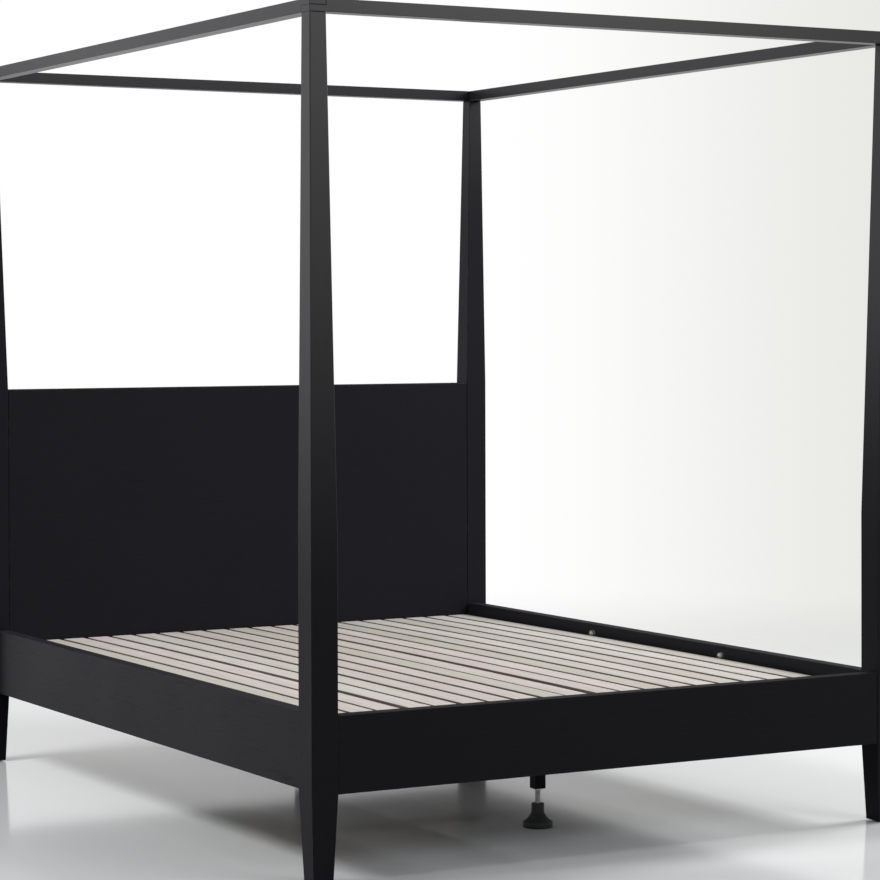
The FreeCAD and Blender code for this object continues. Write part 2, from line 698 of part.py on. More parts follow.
# Dome-headed bolt, turned about its axis: the underside of its head is at the seat
def dome_bolt(name, seat, side):
    body = doc.addObject("PartDesign::Body", name)
    profile = sketch_on(body, "XZ_Plane", name + "_profile", ("0", "0", "0"))
    head = driving["hanger_bolt_head"]
    rim = driving["hanger_bolt_head_radius"]
    shank = driving["bolt_radius"]
    length = driving["hanger_bolt_length"]
    ball = Part.Circle(FreeCAD.Vector(), FreeCAD.Vector(0, 0, 1), head)
    profile.addGeometry(Part.ArcOfCircle(ball, math.acos(rim / head), math.pi / 2), False)
    corners = [(0, head), (0, -length), (shank, -length), (shank, 0), (rim, 0), (rim, math.sqrt(head**2 - rim**2))]
    points = [FreeCAD.Vector(x, z, 0) for x, z in corners]
    for first, second in zip(points, points[1:]):
        profile.addGeometry(Part.LineSegment(first, second), False)
    constraints = [
        ("Coincident", 0, 2, 1, 1), ("Coincident", 1, 2, 2, 1), ("Coincident", 2, 2, 3, 1),
        ("Coincident", 3, 2, 4, 1), ("Coincident", 4, 2, 5, 1), ("Coincident", 5, 2, 0, 1),
        ("Coincident", 0, 3, -1, 1), ("PointOnObject", 1, 1, -2), ("PointOnObject", 1, 2, -2),
        ("Horizontal", 2), ("Vertical", 3), ("PointOnObject", 4, 1, -1), ("Horizontal", 4), ("Vertical", 5),
    ]
    for constraint in constraints:
        profile.addConstraint(Sketcher.Constraint(*constraint))
    named = [
        ("dome", ("Radius", 0, head), "hanger_bolt_head"),
        ("rim", ("DistanceX", -1, 1, 5, 1, rim), "hanger_bolt_head_radius"),
        ("shank", ("DistanceX", -1, 1, 3, 1, shank), "bolt_radius"),
        ("length", ("DistanceY", 1, 2, -1, 1, length), "hanger_bolt_length"),
    ]
    for constraint_name, constraint, formula in named:
        profile.addConstraint(Sketcher.Constraint(*constraint))
        profile.renameConstraint(profile.ConstraintCount - 1, constraint_name)
        bind(profile, f"Constraints.{constraint_name}", formula)
    turn(body, profile)
    body.Placement = FreeCAD.Placement(FreeCAD.Vector(), TURNS["-x" if side == 1 else "x"])
    place(body, *seat)
    return body


# Full turn of a profile about its upright axis
def turn(body, profile):
    feature = body.newObject("PartDesign::Revolution", profile.Name + "_turn")
    feature.Profile = profile
    feature.ReferenceAxis = (profile, ["V_Axis"])
    feature.Angle = 360
    profile.Visibility = False
    body.Tip = feature


# Bracket that carries one end of the centre beam
def centre_bracket(end_name):
    end = ENDS[end_name]
    name = f"centre_bracket_{end_name}"
    face = head_face if end_name == "head" else foot_face
    y = f"{end} * ({face} - butt_gap - bracket_thickness / 2)"
    plate = box(name + "_plate", ("bracket_width", "bracket_thickness", "(bracket_top - bracket_bottom)"),
                ("0", y, bracket_screw_height))
    shelf = box(name + "_shelf", ("beam_width", "bracket_shelf", "bracket_thickness"),
                ("0", f"{end} * ({face} - butt_gap - bracket_shelf / 2)",
                 f"{centre_beam_bottom} - seat_gap - bracket_thickness / 2"))
    away = "y" if end == 1 else "-y"
    holes = []
    for sign in (-1, 1):
        x = f"{sign} * bracket_screw_spread"
        start = f"{end} * ({face} - bracket_thickness - overrun)"
        holes.append(cylinder(name + "_hole", "bracket_screw_radius + hole_clearance",
                              "bracket_thickness + 2 * overrun", (x, start, bracket_screw_height), away))
        head = f"{end} * ({face} - bracket_thickness - butt_gap - thread_clearance)"
        bracket_screws.append(screw(name + "_screw", (x, head, bracket_screw_height), away, "bracket_screw"))
    return cut(name, fuse(name + "_blank", [plate, shelf]), holes)


# Round-headed screw: the start is the underside of its head
def screw(name, start, towards, kind):
    sign = -1 if towards.startswith("-") else 1
    axis = "xyz".index(towards[-1])
    back = list(start)
    back[axis] = f"{start[axis]} - {sign} * screw_head_height"
    shank = cylinder(name + "_shank", f"{kind}_radius", f"{kind}_length", start, towards)
    head = cylinder(name + "_head", "screw_head_radius", "screw_head_height", back, towards)
    return fuse(name, [shank, head])


# Crossbeams from side rail to side rail
def crossbeam(end_name):
    label = f"crossbeam_{end_name}"
    middle = (
        "0", f"{crossbeam_centre} + {ENDS[end_name]} * crossbeam_spread", f"{crossbeam_bottom} + crossbeam_height / 2")
    return finish(box(label, (crossbeam_length, "beam_width", "crossbeam_height"), middle), label)


# Centre beam under the crossbeams, with a hole for each leg's screw
def centre_beam():
    label = "centre_beam"
    beam = box(label + "_bar", ("beam_width", centre_beam_length, "centre_beam_height"),
               ("0", deck_middle, f"{centre_beam_bottom} + centre_beam_height / 2"))
    holes = []
    for end in (-1, 1):
        start = ("0", f"{deck_middle} + {end} * {leg_spread}", f"{centre_beam_bottom} - overrun")
        holes.append(cylinder(label + "_hole", "bolt_radius + hole_clearance",
                              "centre_beam_height + 2 * overrun", start, "z"))
    return finish(cut(label, beam, holes), label)


# Centre leg with its levelling foot, and the screw that holds it to the beam
def centre_leg(end_name):
    end = ENDS[end_name]
    y = f"{deck_middle} + {end} * {leg_spread}"
    label = f"centre_leg_{end_name}"
    leg_top = f"({centre_beam_bottom} - butt_gap)"
    block = box(label + "_block", ("leg_width", "leg_width", f"({leg_top} - leg_bottom)"),
                ("0", y, f"({leg_top} + leg_bottom) / 2"))
    lag_tip = f"({centre_beam_top} - lag_screw_length)"
    seat = cylinder(label + "_insert_seat", "insert_radius + thread_clearance",
                    "insert_length + end_gap + overrun", ("0", y, "leg_bottom - overrun"), "z")
    bore = cylinder(label + "_bore", "rod_radius + 2 * hole_clearance", "(leg_bore_top - leg_bottom)",
                    ("0", y, "leg_bottom"), "z")
    lag_hole = cylinder(label + "_lag_hole", "bolt_radius + thread_clearance",
                        f"({leg_top} - {lag_tip} + end_gap + overrun)", ("0", y, f"{lag_tip} - end_gap"), "z")
    finish(cut(label, block, [seat, bore, lag_hole]), label)

    sleeve = cylinder(label + "_sleeve", "insert_radius", "insert_length", ("0", y, "leg_bottom"), "z")
    thread = cylinder(label + "_thread", "rod_radius + thread_clearance", "insert_length + 2 * overrun",
                      ("0", y, "leg_bottom - overrun"), "z")
    flange = cylinder(label + "_flange", "insert_flange_radius", "insert_flange",
                      ("0", y, "leg_bottom - insert_flange"), "z")
    leg_inserts.append(cut(label + "_insert", fuse(label + "_insert_blank", [sleeve, flange]), [thread]))

    shank = cylinder(label + "_lag_shank", "bolt_radius", "lag_screw_length", ("0", y, lag_tip), "z")
    head = hexagon(label + "_lag_head", "nut_radius", "lag_head_height", ("0", y, centre_beam_top), "z")
    leg_screws.append(fuse(label + "_lag", [shank, head]))

    rod = cylinder(f"levelling_rod_{end_name}", "rod_radius", "(rod_top - rod_bottom)", ("0", y, "rod_bottom"), "z")
    finish(rod, f"levelling_rod_{end_name}")
    foot_pad(end_name, y)


# Flared foot pad, revolved about the rod
def foot_pad(end_name, y):
    label = f"levelling_pad_{end_name}"
    body = doc.addObject("PartDesign::Body", label)
    profile = sketch_on(body, "XZ_Plane", label + "_profile", ("0", "0", "0"))
    size = driving
    hole = size["rod_radius"] + size["thread_clearance"]
    floor = size["rod_bottom"] - size["end_gap"]
    rim = FreeCAD.Vector(size["pad_radius"], size["pad_rim"], 0)
    shoulder = FreeCAD.Vector(size["pad_neck_radius"], size["pad_shoulder"], 0)
    below = [FreeCAD.Vector(0, 0, 0), FreeCAD.Vector(size["pad_radius"], 0, 0), rim]
    above = [shoulder, FreeCAD.Vector(size["pad_neck_radius"], size["pad_neck"], 0),
             FreeCAD.Vector(hole, size["pad_neck"], 0), FreeCAD.Vector(hole, floor, 0),
             FreeCAD.Vector(0, floor, 0), FreeCAD.Vector(0, 0, 0)]

    # The flare is a hollow arc from the rim up to the neck
    chord = shoulder - rim
    middle = (rim + shoulder) / 2
    inward = FreeCAD.Vector(chord.y, -chord.x, 0).normalize()
    bow = size["pad_flare_radius"] - math.sqrt(size["pad_flare_radius"] ** 2 - (chord.Length / 2) ** 2)
    for first, second in zip(below, below[1:]):
        profile.addGeometry(Part.LineSegment(first, second), False)
    profile.addGeometry(Part.Arc(shoulder, middle - inward * bow, rim), False)
    for first, second in zip(above, above[1:]):
        profile.addGeometry(Part.LineSegment(first, second), False)
    constraints = [("Coincident", 0, 2, 1, 1), ("Coincident", 1, 2, 2, 2), ("Coincident", 2, 1, 3, 1)]
    constraints += [("Coincident", index, 2, index + 1, 1) for index in range(3, 7)]
    constraints += [("Coincident", 7, 2, 0, 1), ("Coincident", 0, 1, -1, 1)]
    constraints += [("Horizontal", index) for index in (0, 4, 6)]
    constraints += [("Vertical", index) for index in (1, 3, 5, 7)]
    for constraint in constraints:
        profile.addConstraint(Sketcher.Constraint(*constraint))
    named = [
        ("radius", ("DistanceX", -1, 1, 0, 2, rim.x), "pad_radius"),
        ("rim", ("DistanceY", -1, 1, 1, 2, rim.y), "pad_rim"),
        ("flare", ("Radius", 2, size["pad_flare_radius"]), "pad_flare_radius"),
        ("neck_radius", ("DistanceX", -1, 1, 3, 1, shoulder.x), "pad_neck_radius"),
        ("shoulder", ("DistanceY", -1, 1, 3, 1, shoulder.y), "pad_shoulder"),
        ("neck", ("DistanceY", -1, 1, 3, 2, size["pad_neck"]), "pad_neck"),
        ("hole", ("DistanceX", -1, 1, 5, 1, hole), "rod_radius + thread_clearance"),
        ("floor", ("DistanceY", -1, 1, 6, 1, floor), "rod_bottom - end_gap"),
    ]
    for name, constraint, formula in named:
        profile.addConstraint(Sketcher.Constraint(*constraint))
        profile.renameConstraint(profile.ConstraintCount - 1, name)
        bind(profile, f"Constraints.{name}", formula)
    turn(body, profile)
    place(body, "0", y, "0")
    return finish(body, label)


bracket_screws = []
hanger_bolts = []
leg_inserts = []
leg_screws = []

for end_name in ENDS:
    for side_name in SIDES:
        post(side_name, end_name)
for side_name, side in SIDES.items():
    side_rail(side_name)
    canopy_rail(side_name, "y", side)
for end_name, end in ENDS.items():
    canopy_rail(end_name, "x", end)
    ledge(end_name)
    crossbeam(end_name)
    centre_leg(end_name)
end_rail("head", head_rail_middle, head_rail_height)
end_rail("foot", foot_rail_middle, "rail_height")
headboard()
centre_beam()
tapes()
for index in range(driving["slat_count"]):
    slat(index)

# Brackets and fasteners: like pieces share one node
hangers = [crossbeam_hanger(side, sign) for side in (-1, 1) for sign in (-1, 1)]
finish(group("crossbeam_hangers", hangers), "crossbeam_hangers")
brackets = [centre_bracket(end_name) for end_name in ENDS]
finish(group("centre_beam_brackets", brackets), "centre_beam_brackets")
finish(group("hanger_bolts", hanger_bolts), "hanger_bolts")
finish(group("bracket_screws", bracket_screws), "bracket_screws")
finish(group("leg_inserts", leg_inserts), "leg_inserts")
finish(group("leg_lag_screws", leg_screws), "leg_lag_screws")
finish(group("rail_bolts", rail_bolts), "rail_bolts")
finish(group("rail_bolt_washers", rail_washers), "rail_bolt_washers")
finish(group("rail_bolt_nuts", rail_nuts), "rail_bolt_nuts")

ledge_screws = []
for end_name, end in ENDS.items():
    face = head_face if end_name == "head" else foot_face
    for x in ledge_screw_places:
        start = (x, f"{end} * ({face} - ledge_depth - butt_gap - thread_clearance)",
                 f"{ledge_top} - ledge_height / 2")
        ledge_screws.append(screw("ledge_screw", start, "y" if end == 1 else "-y", "ledge_screw"))
finish(group("ledge_screws", ledge_screws), "ledge_screws")

corner_screws = []
corner_dowels = []
glides = []
for side, end in CORNERS:
    x = f"{side} * {canopy_middle_x}"
    y = f"{end} * {canopy_middle_y}"
    shank = cylinder("corner_shank", "corner_screw_radius",
                     "canopy_height + corner_screw_depth - corner_screw_head",
                     (x, y, f"{canopy_bottom} - corner_screw_depth"), "z")
    head = cylinder("corner_head", "corner_screw_head_radius", "corner_screw_head",
                    (x, y, "bed_height - corner_screw_head"), "z")
    corner_screws.append(fuse("corner_screw", [shank, head]))
    dowel_start = (f"{x} + {side} * corner_dowel_offset", f"{y} + {end} * corner_dowel_offset",
                   f"{canopy_bottom} - corner_dowel_in_post")
    corner_dowels.append(cylinder("corner_dowel", "corner_dowel_radius", "corner_dowel_length",
                                  dowel_start, "z"))
    glide_x = f"{side} * {post_middle_x}"
    glide_y = f"{end} * {post_middle_y}"
    disc = cylinder("glide_disc", "glide_radius", "glide_height", (glide_x, glide_y, "0"), "z")
    nail = cylinder("glide_nail", "glide_nail_radius", "glide_height + glide_nail_length",
                    (glide_x, glide_y, "0"), "z")
    glides.append(fuse("glide", [disc, nail]))
finish(group("canopy_corner_screws", corner_screws), "canopy_corner_screws")
finish(group("canopy_corner_dowels", corner_dowels), "canopy_corner_dowels")
finish(group("post_glides", glides), "post_glides")

panel_dowels = []
for side in (-1, 1):
    for height in panel_dowel_heights:
        start = (f"{side} * ({between_posts} / 2 - panel_dowel_length / 2)",
                 f"{head_face} + headboard_thickness / 2", height)
        panel_dowels.append(cylinder("panel_dowel", "panel_dowel_radius", "panel_dowel_length", start,
                                     "x" if side == 1 else "-x"))
finish(group("headboard_dowels", panel_dowels), "headboard_dowels")

# Every object must be sound before anything is written
doc.recompute()
for obj in doc.Objects:
    if "Invalid" in obj.State or "Error" in obj.State:
        raise RuntimeError("unsound object " + obj.Name)
for obj in nodes:
    if obj.Shape.isNull() or not obj.Shape.isValid() or not obj.Shape.Solids:
        raise RuntimeError("unsound shape " + obj.Label)
for obj in nodes:
    obj.Shape.exportStep(f"parts/{obj.Label}.step")
print(len(nodes), "nodes written")
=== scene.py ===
# %% [markdown]
# # A four-poster bed, dressed over its CAD frame
#
# This notebook gives a canopy bed its finish: black satin lacquer on posts and rails, pale birch
# slats, raw pine beams below them, and the steel that holds it all together. The CAD model is
# loaded first and never moves. Each sub-part that shows is then modelled again with softened edges
# and small forms, exactly where its CAD node stands, so most sizes here are read from the CAD.

import json
import math

import bmesh
import bpy
from mathutils import Matrix, Vector

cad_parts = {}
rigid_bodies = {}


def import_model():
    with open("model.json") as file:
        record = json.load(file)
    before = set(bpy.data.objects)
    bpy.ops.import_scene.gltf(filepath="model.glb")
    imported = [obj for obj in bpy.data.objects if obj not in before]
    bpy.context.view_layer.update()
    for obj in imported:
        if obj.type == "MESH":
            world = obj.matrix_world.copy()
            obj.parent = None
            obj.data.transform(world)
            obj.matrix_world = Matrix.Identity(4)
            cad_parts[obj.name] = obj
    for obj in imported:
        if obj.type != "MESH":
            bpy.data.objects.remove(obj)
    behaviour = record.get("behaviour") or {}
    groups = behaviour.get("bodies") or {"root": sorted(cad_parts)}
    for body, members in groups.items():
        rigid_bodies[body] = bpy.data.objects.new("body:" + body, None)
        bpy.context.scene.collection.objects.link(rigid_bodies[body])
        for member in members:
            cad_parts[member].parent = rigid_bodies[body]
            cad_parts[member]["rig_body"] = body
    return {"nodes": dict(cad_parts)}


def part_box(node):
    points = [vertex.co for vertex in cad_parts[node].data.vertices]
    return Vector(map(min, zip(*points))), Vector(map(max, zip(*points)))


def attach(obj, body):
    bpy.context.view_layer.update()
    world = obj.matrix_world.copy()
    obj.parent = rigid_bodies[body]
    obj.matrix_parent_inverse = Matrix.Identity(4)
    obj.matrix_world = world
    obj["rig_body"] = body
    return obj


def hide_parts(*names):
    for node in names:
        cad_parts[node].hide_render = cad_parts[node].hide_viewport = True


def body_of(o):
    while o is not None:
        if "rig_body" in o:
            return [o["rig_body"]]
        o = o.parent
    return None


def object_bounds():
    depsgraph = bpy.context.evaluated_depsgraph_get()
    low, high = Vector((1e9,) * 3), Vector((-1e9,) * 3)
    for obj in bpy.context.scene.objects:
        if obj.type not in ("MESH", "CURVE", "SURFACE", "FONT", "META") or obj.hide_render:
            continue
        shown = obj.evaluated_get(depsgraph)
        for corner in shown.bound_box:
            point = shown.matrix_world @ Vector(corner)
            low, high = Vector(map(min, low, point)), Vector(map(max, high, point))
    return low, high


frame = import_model()
cad_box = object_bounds()
print("the CAD box spans", [round(high - low, 3) for low, high in zip(*cad_box)], "metres")

# %% [markdown]
# The photograph was taken with a long lens from beyond the near left post, at about the height of
# a person's chest. A place and three angles describe that camera. It looks a hair below level, and
# a small lens shift, as on an architect's camera, keeps the posts upright. A larger shift would
# follow the photograph's posts even closer, but it would push the bed out of other views.

# %% Camera
image_pixels = 880
focal_pixels = 2838
camera_place = Vector((-3.729, -6.796, 1.2795))
camera_turn_right = math.radians(29.42)
camera_look_up = math.radians(-0.63)
camera_roll = math.radians(-0.15)
principal_row = 352
sensor_millimetres = 36
look_level = math.radians(90)

camera_data = bpy.data.cameras.new("studio_camera")
camera_data.sensor_width = sensor_millimetres
camera_data.lens = sensor_millimetres * focal_pixels / image_pixels
camera_data.shift_y = (principal_row - image_pixels / 2) / image_pixels
camera = bpy.data.objects.new("studio_camera", camera_data)
bpy.context.collection.objects.link(camera)
camera.matrix_world = (
    Matrix.Translation(camera_place)
    @ Matrix.Rotation(-camera_turn_right, 4, "Z")
    @ Matrix.Rotation(look_level + camera_look_up, 4, "X")
    @ Matrix.Rotation(camera_roll, 4, "Z")
)
bpy.context.scene.camera = camera
print("lens", round(camera_data.lens, 1), "mm, shift", round(camera_data.shift_y, 3))

# %% [markdown]
# Materials are graphs of nodes, and sums between nodes read badly as a list of links. A small class
# wraps one socket and lets Python's own signs stand for Math nodes, so 1 - mask works as it looks.

# %% Shader sums as Python expressions
class Wire:
    def __init__(self, recipe, socket):
        self.recipe = recipe
        self.socket = socket

    def __add__(self, other):
        return self.recipe.sum("ADD", self, other)

    def __radd__(self, other):
        return self.recipe.sum("ADD", other, self)

    def __sub__(self, other):
        return self.recipe.sum("SUBTRACT", self, other)

    def __rsub__(self, other):
        return self.recipe.sum("SUBTRACT", other, self)

    def __mul__(self, other):
        return self.recipe.sum("MULTIPLY", self, other)

    def __rmul__(self, other):
        return self.recipe.sum("MULTIPLY", other, self)

    def __truediv__(self, other):
        return self.recipe.sum("DIVIDE", self, other)

    def output(self, name):
        return Wire(self.recipe, self.socket.node.outputs[name])


# %% [markdown]
# A recipe makes every other node: its settings come first, then the values or links of its sockets.
# Sockets go by name, or by place where a node has several of one name: at0 is the first. The
# number called take is the place of the output that is passed on.

# %% Recipe of a material
class Recipe:
    def __init__(self, tree):
        self.tree = tree
        tree.nodes.clear()

    def node(self, kind, settings=None, take=0, **sockets):
        made = self.tree.nodes.new("ShaderNode" + kind)
        for name, value in (settings or {}).items():
            setattr(made, name, value)
        for name, value in sockets.items():
            key = int(name[2:]) if name.startswith("at") else name.replace("_", " ").title()
            self.feed(made.inputs[key], value)
        return Wire(self, made.outputs[take])

    def feed(self, socket, value):
        if isinstance(value, Wire):
            self.tree.links.new(value.socket, socket)
        else:
            socket.default_value = value

    def sum(self, operation, first, second=0.0, clamp=False):
        settings = {"operation": operation, "use_clamp": clamp}
        return self.node("Math", settings, at0=first, at1=second)

    def mix(self, share, first, second):
        settings = {"data_type": "RGBA", "clamp_factor": True}
        return self.node("Mix", settings, take=2, at0=share, at6=first, at7=second)

    def spread(self, value, low, high, to_low=0.0, to_high=1.0):
        return self.node("MapRange", {"interpolation_type": "SMOOTHSTEP"}, value=value,
                         from_min=low, from_max=high, to_min=to_low, to_max=to_high)

    def stretch(self, place, scale):
        return self.node("Mapping", vector=place, scale=scale)

    def places(self, scale=(1, 1, 1)):
        return self.stretch(self.node("TexCoord").output("Object"), scale)

    def noise(self, place, scale, detail=3.0, rough=0.5):
        return self.node("TexNoise", vector=place, scale=scale, detail=detail, roughness=rough)

    def facing_up(self, low, high, to_low=0.0, to_high=1.0):
        normal = self.node("NewGeometry").output("Normal")
        upward = self.node("SeparateXYZ", vector=normal).output("Z")
        return self.spread(upward, low, high, to_low, to_high)

# %% [markdown]
# Colours are quoted as the screen shows them, from 0 to 255, because that is how one reads them off
# a photograph. Shaders reckon with light itself, so each is changed to its linear value here.

# %% Colours and a blank finish
def linear(level):
    share = level / 255
    return share / 12.92 if share <= 0.04045 else ((share + 0.055) / 1.055) ** 2.4


def colour(red, green, blue):
    return (linear(red), linear(green), linear(blue), 1.0)


def finish(name, fixed, changing):
    material = bpy.data.materials.new(name)
    material.use_nodes = True
    recipe = Recipe(material.node_tree)
    shader = material.node_tree.nodes.new("ShaderNodeBsdfPrincipled")
    output = material.node_tree.nodes.new("ShaderNodeOutputMaterial")
    material.node_tree.links.new(shader.outputs[0], output.inputs[0])
    for socket, value in fixed.items():
        shader.inputs[socket].default_value = value
    for socket, value in changing(recipe).items():
        recipe.feed(shader.inputs[socket], value)
    return material


print("a screen grey of 128 is", round(linear(128), 3), "of full light")

# %% [markdown]
# The frame's finish is a thin black satin lacquer sprayed on wood. What tells it from plastic is
# faint: long fine grain that still prints through, a little orange peel from the spray gun, edges
# where the film is rubbed thin and shines more, and dust that dulls it in soft patches and on every
# face that looks up. In the photograph the polish grows with height, most of all on the near post:
# low down, shoes and bedding have dulled it. So a clear coat over the black comes in with height,
# sooner at the foot end than at the head. Grain is noise drawn out along the piece, so one recipe
# makes three materials, one for each direction.

# %% Black lacquer
LACQUER = colour(29, 28, 33)
DUSTED = colour(31, 30, 35)
RUBBED = colour(52, 48, 48)
PORE = colour(12, 12, 14)
grain_relief = 0.0004
dull_below = 1.05
polished_above = 2.0
rise_to_head_share = 0.45


def drawn_out(along, lengthwise, crosswise):
    return tuple(lengthwise if axis == along else crosswise for axis in "xyz")


def lacquer(recipe, along):
    lengthwise_places = recipe.places(drawn_out(along, lengthwise=5, crosswise=150))
    grain = recipe.noise(lengthwise_places, scale=3.0, detail=6.0, rough=0.62)
    pores = recipe.spread(grain, 0.30, 0.47, 1.0, 0.0)
    peel = recipe.noise(recipe.places(), scale=420.0, detail=2.0)
    patches = recipe.noise(recipe.places(), scale=3.5, detail=4.0)
    worn = recipe.node("Attribute", {"attribute_name": "edge"}).output("Fac")
    scuffs = recipe.spread(recipe.noise(recipe.places(), scale=38.0, detail=5.0), 0.48, 0.68)
    rubbed = worn * scuffs
    upward = recipe.facing_up(0.7, 0.95)
    place = recipe.node("SeparateXYZ", vector=recipe.places())
    dulled_height = place.output("Z") - rise_to_head_share * place.output("Y")
    polish = recipe.spread(dulled_height, dull_below, polished_above)
    tone = recipe.mix(recipe.spread(patches, 0.35, 0.7, 0.0, 0.35), LACQUER, DUSTED)
    tone = recipe.mix(pores * 0.45, tone, PORE)
    tone = recipe.mix(rubbed * 0.45, tone, RUBBED)
    rough = 0.38 + 0.14 * patches + 0.10 * pores - 0.08 * rubbed + 0.30 * upward
    height = grain * 0.55 - pores * 0.45 + peel * 0.16
    bump = recipe.node("Bump", strength=0.14, distance=grain_relief, height=height)
    coat = 0.55 * polish * (1 - upward)
    return {"Base Color": tone, "Roughness": rough, "Coat Weight": coat, "Normal": bump}


lacquer_gloss = {"Specular IOR Level": 0.07, "Coat Roughness": 0.32}
black_lacquer = {}
for along in "xyz":
    name = "black_lacquer_" + along
    black_lacquer[along] = finish(name, lacquer_gloss, lambda recipe: lacquer(recipe, along))
print(len(black_lacquer), "directions of black lacquer")

# %% [markdown]
# The slats are planed birch, left bare. Each board comes from another log, so each has its own tone,
# picked by which row of the deck a point lies in. Rows are counted from far left of the bed, so that
# no count is below zero. On top come long pale and dark streaks, finer fibres, and here and there a
# small pin knot, which is a dark spot pulled out along the grain. The sides and the underside get
# painted shade: a dark brown colour that stands in for the shade down between and under the slats,
# and this painted shade is what draws the dark lines between the slats.

# %% Pale slat wood
slat_low, slat_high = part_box("slat_01")
second_low, second_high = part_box("slat_02")
slat_row_width = (second_low.x + second_high.x - slat_low.x - slat_high.x) / 2
first_row = 100.0
second_draw = 57.3
BIRCH_GREY = colour(186, 183, 173)
BIRCH_PALE = colour(212, 206, 202)
BIRCH_ROSY = colour(204, 191, 190)
BIRCH_STREAK = colour(170, 160, 146)
BIRCH_FIBRE = colour(150, 137, 120)
BIRCH_KNOT = colour(120, 88, 62)
SLAT_PAINTED_SHADE = colour(50, 43, 38)
birch_relief = 0.0003
print("slats lie", round(slat_row_width * 1000, 1), "mm apart")


def birch(recipe):
    here = recipe.places()
    across = recipe.node("SeparateXYZ", vector=here).output("X")
    row = recipe.sum("FLOOR", across / slat_row_width + first_row)
    own = recipe.node("TexWhiteNoise", {"noise_dimensions": "1D"}, w=row)
    second = recipe.node("TexWhiteNoise", {"noise_dimensions": "1D"}, w=row + second_draw)
    jump = recipe.node("CombineXYZ", x=own * 3.0, y=second * 7.0, z=own)
    moved = recipe.node("VectorMath", {"operation": "ADD"}, at0=here, at1=jump)
    streak_places = recipe.stretch(moved, drawn_out("y", lengthwise=2.2, crosswise=60))
    streaks = recipe.noise(streak_places, scale=2.4, detail=6.0, rough=0.6)
    fibre_places = recipe.stretch(moved, drawn_out("y", lengthwise=18, crosswise=900))
    fibres = recipe.noise(fibre_places, scale=1.0)
    knot_places = recipe.stretch(moved, drawn_out("y", lengthwise=2.6, crosswise=9))
    knots = recipe.node("TexVoronoi", {"feature": "F1"}, vector=knot_places, scale=1.0)
    knot = recipe.spread(knots, 0.03, 0.10, 1.0, 0.0)
    # Painted shade: the sides and underside of each slat are coloured dark brown to stand in for the shade
    # between and beneath the slats.
    painted_side_shade = recipe.facing_up(0.35, 0.9, 1.0, 0.0)
    tone = recipe.mix(own, BIRCH_GREY, BIRCH_PALE)
    tone = recipe.mix(recipe.spread(second, 0.5, 1.0) * 0.6, tone, BIRCH_ROSY)
    tone = recipe.mix(recipe.spread(streaks, 0.40, 0.70) * 0.55, tone, BIRCH_STREAK)
    tone = recipe.mix(recipe.spread(fibres, 0.52, 0.78) * 0.30, tone, BIRCH_FIBRE)
    tone = recipe.mix(knot * 0.8, tone, BIRCH_KNOT)
    tone = recipe.mix(painted_side_shade * (0.72 + 0.28 * streaks), tone, SLAT_PAINTED_SHADE)
    height = fibres * 0.6 + streaks * 0.4 - knot * 0.3
    bump = recipe.node("Bump", strength=0.25, distance=birch_relief, height=height)
    return {"Base Color": tone, "Roughness": 0.62 + 0.14 * fibres, "Normal": bump}


dull_wood = {"Specular IOR Level": 0.3}
pale_slat_wood = finish("pale_slat_wood", dull_wood, birch)

# %% [markdown]
# The beams and ledges under the deck are rough pine, warmer and more strongly striped than birch.
# Pine shows the tree's rings as broad bands of pale early wood and amber late wood. A wave texture,
# bent by noise, draws those bands, and it is stretched along the piece as the lacquer's grain is.

# %% Bare pine
PINE_SHADED = colour(214, 186, 142)
PINE_SUNNY = colour(226, 203, 164)
PINE_LATE_WOOD = colour(184, 136, 84)
PINE_FIBRE = colour(160, 120, 80)
pine_relief = 0.0004


def pine(recipe, along):
    ring_places = recipe.places(drawn_out(along, lengthwise=0.35, crosswise=14))
    settings = {"wave_type": "RINGS", "rings_direction": along.upper()}
    rings = recipe.node("TexWave", settings, vector=ring_places, scale=1.6, distortion=5.5,
                        detail=3.0, detail_scale=0.8).output("Fac")
    late = recipe.spread(rings, 0.45, 0.95)
    fibre_places = recipe.places(drawn_out(along, lengthwise=20, crosswise=900))
    fibres = recipe.noise(fibre_places, scale=1.0)
    soft = recipe.noise(recipe.places(), scale=2.0)
    tone = recipe.mix(soft, PINE_SHADED, PINE_SUNNY)
    tone = recipe.mix(late * 0.55, tone, PINE_LATE_WOOD)
    tone = recipe.mix(recipe.spread(fibres, 0.5, 0.8) * 0.25, tone, PINE_FIBRE)
    height = fibres - late * 0.3
    bump = recipe.node("Bump", strength=0.35, distance=pine_relief, height=height)
    return {"Base Color": tone, "Roughness": 0.68 + 0.12 * fibres, "Normal": bump}


bare_pine = {}
for along in "xy":
    bare_pine[along] = finish("bare_pine_" + along, dull_wood, lambda recipe: pine(recipe, along))
print(len(bare_pine), "directions of pine")

# %% [markdown]
# Five more finishes are left. Steel parts are zinc plated: a fine frosted grey with brighter and
# duller crystals. The four dome bolts, which stand in view, have a duller bronze plating. The
# levelling feet are moulded plastic with a spark-eroded texture. The tapes under the slats are a
# coarse plain weave, drawn as two crossed ripples. Dowels are turned beech.

# %% Plated steel
STAIN = colour(168, 160, 146)
plating_relief = 0.0002


def plated(recipe, dull, bright, roughest):
    crystals = recipe.node("TexVoronoi", {"feature": "F1"}, vector=recipe.places(), scale=260.0)
    flake = recipe.node("SeparateXYZ", vector=crystals.output("Color"))
    stain = recipe.noise(recipe.places(), scale=60.0, detail=4.0)
    tone = recipe.mix(flake, dull, bright)
    tone = recipe.mix(recipe.spread(stain, 0.5, 0.75) * 0.4, tone, STAIN)
    rough = roughest - 0.14 * flake - 0.10 * stain
    bump = recipe.node("Bump", strength=0.12, distance=plating_relief, height=stain)
    return {"Base Color": tone, "Roughness": rough, "Normal": bump}


def steel(name, dull, bright, roughest):
    return finish(name, {"Metallic": 1.0}, lambda recipe: plated(recipe, dull, bright, roughest))


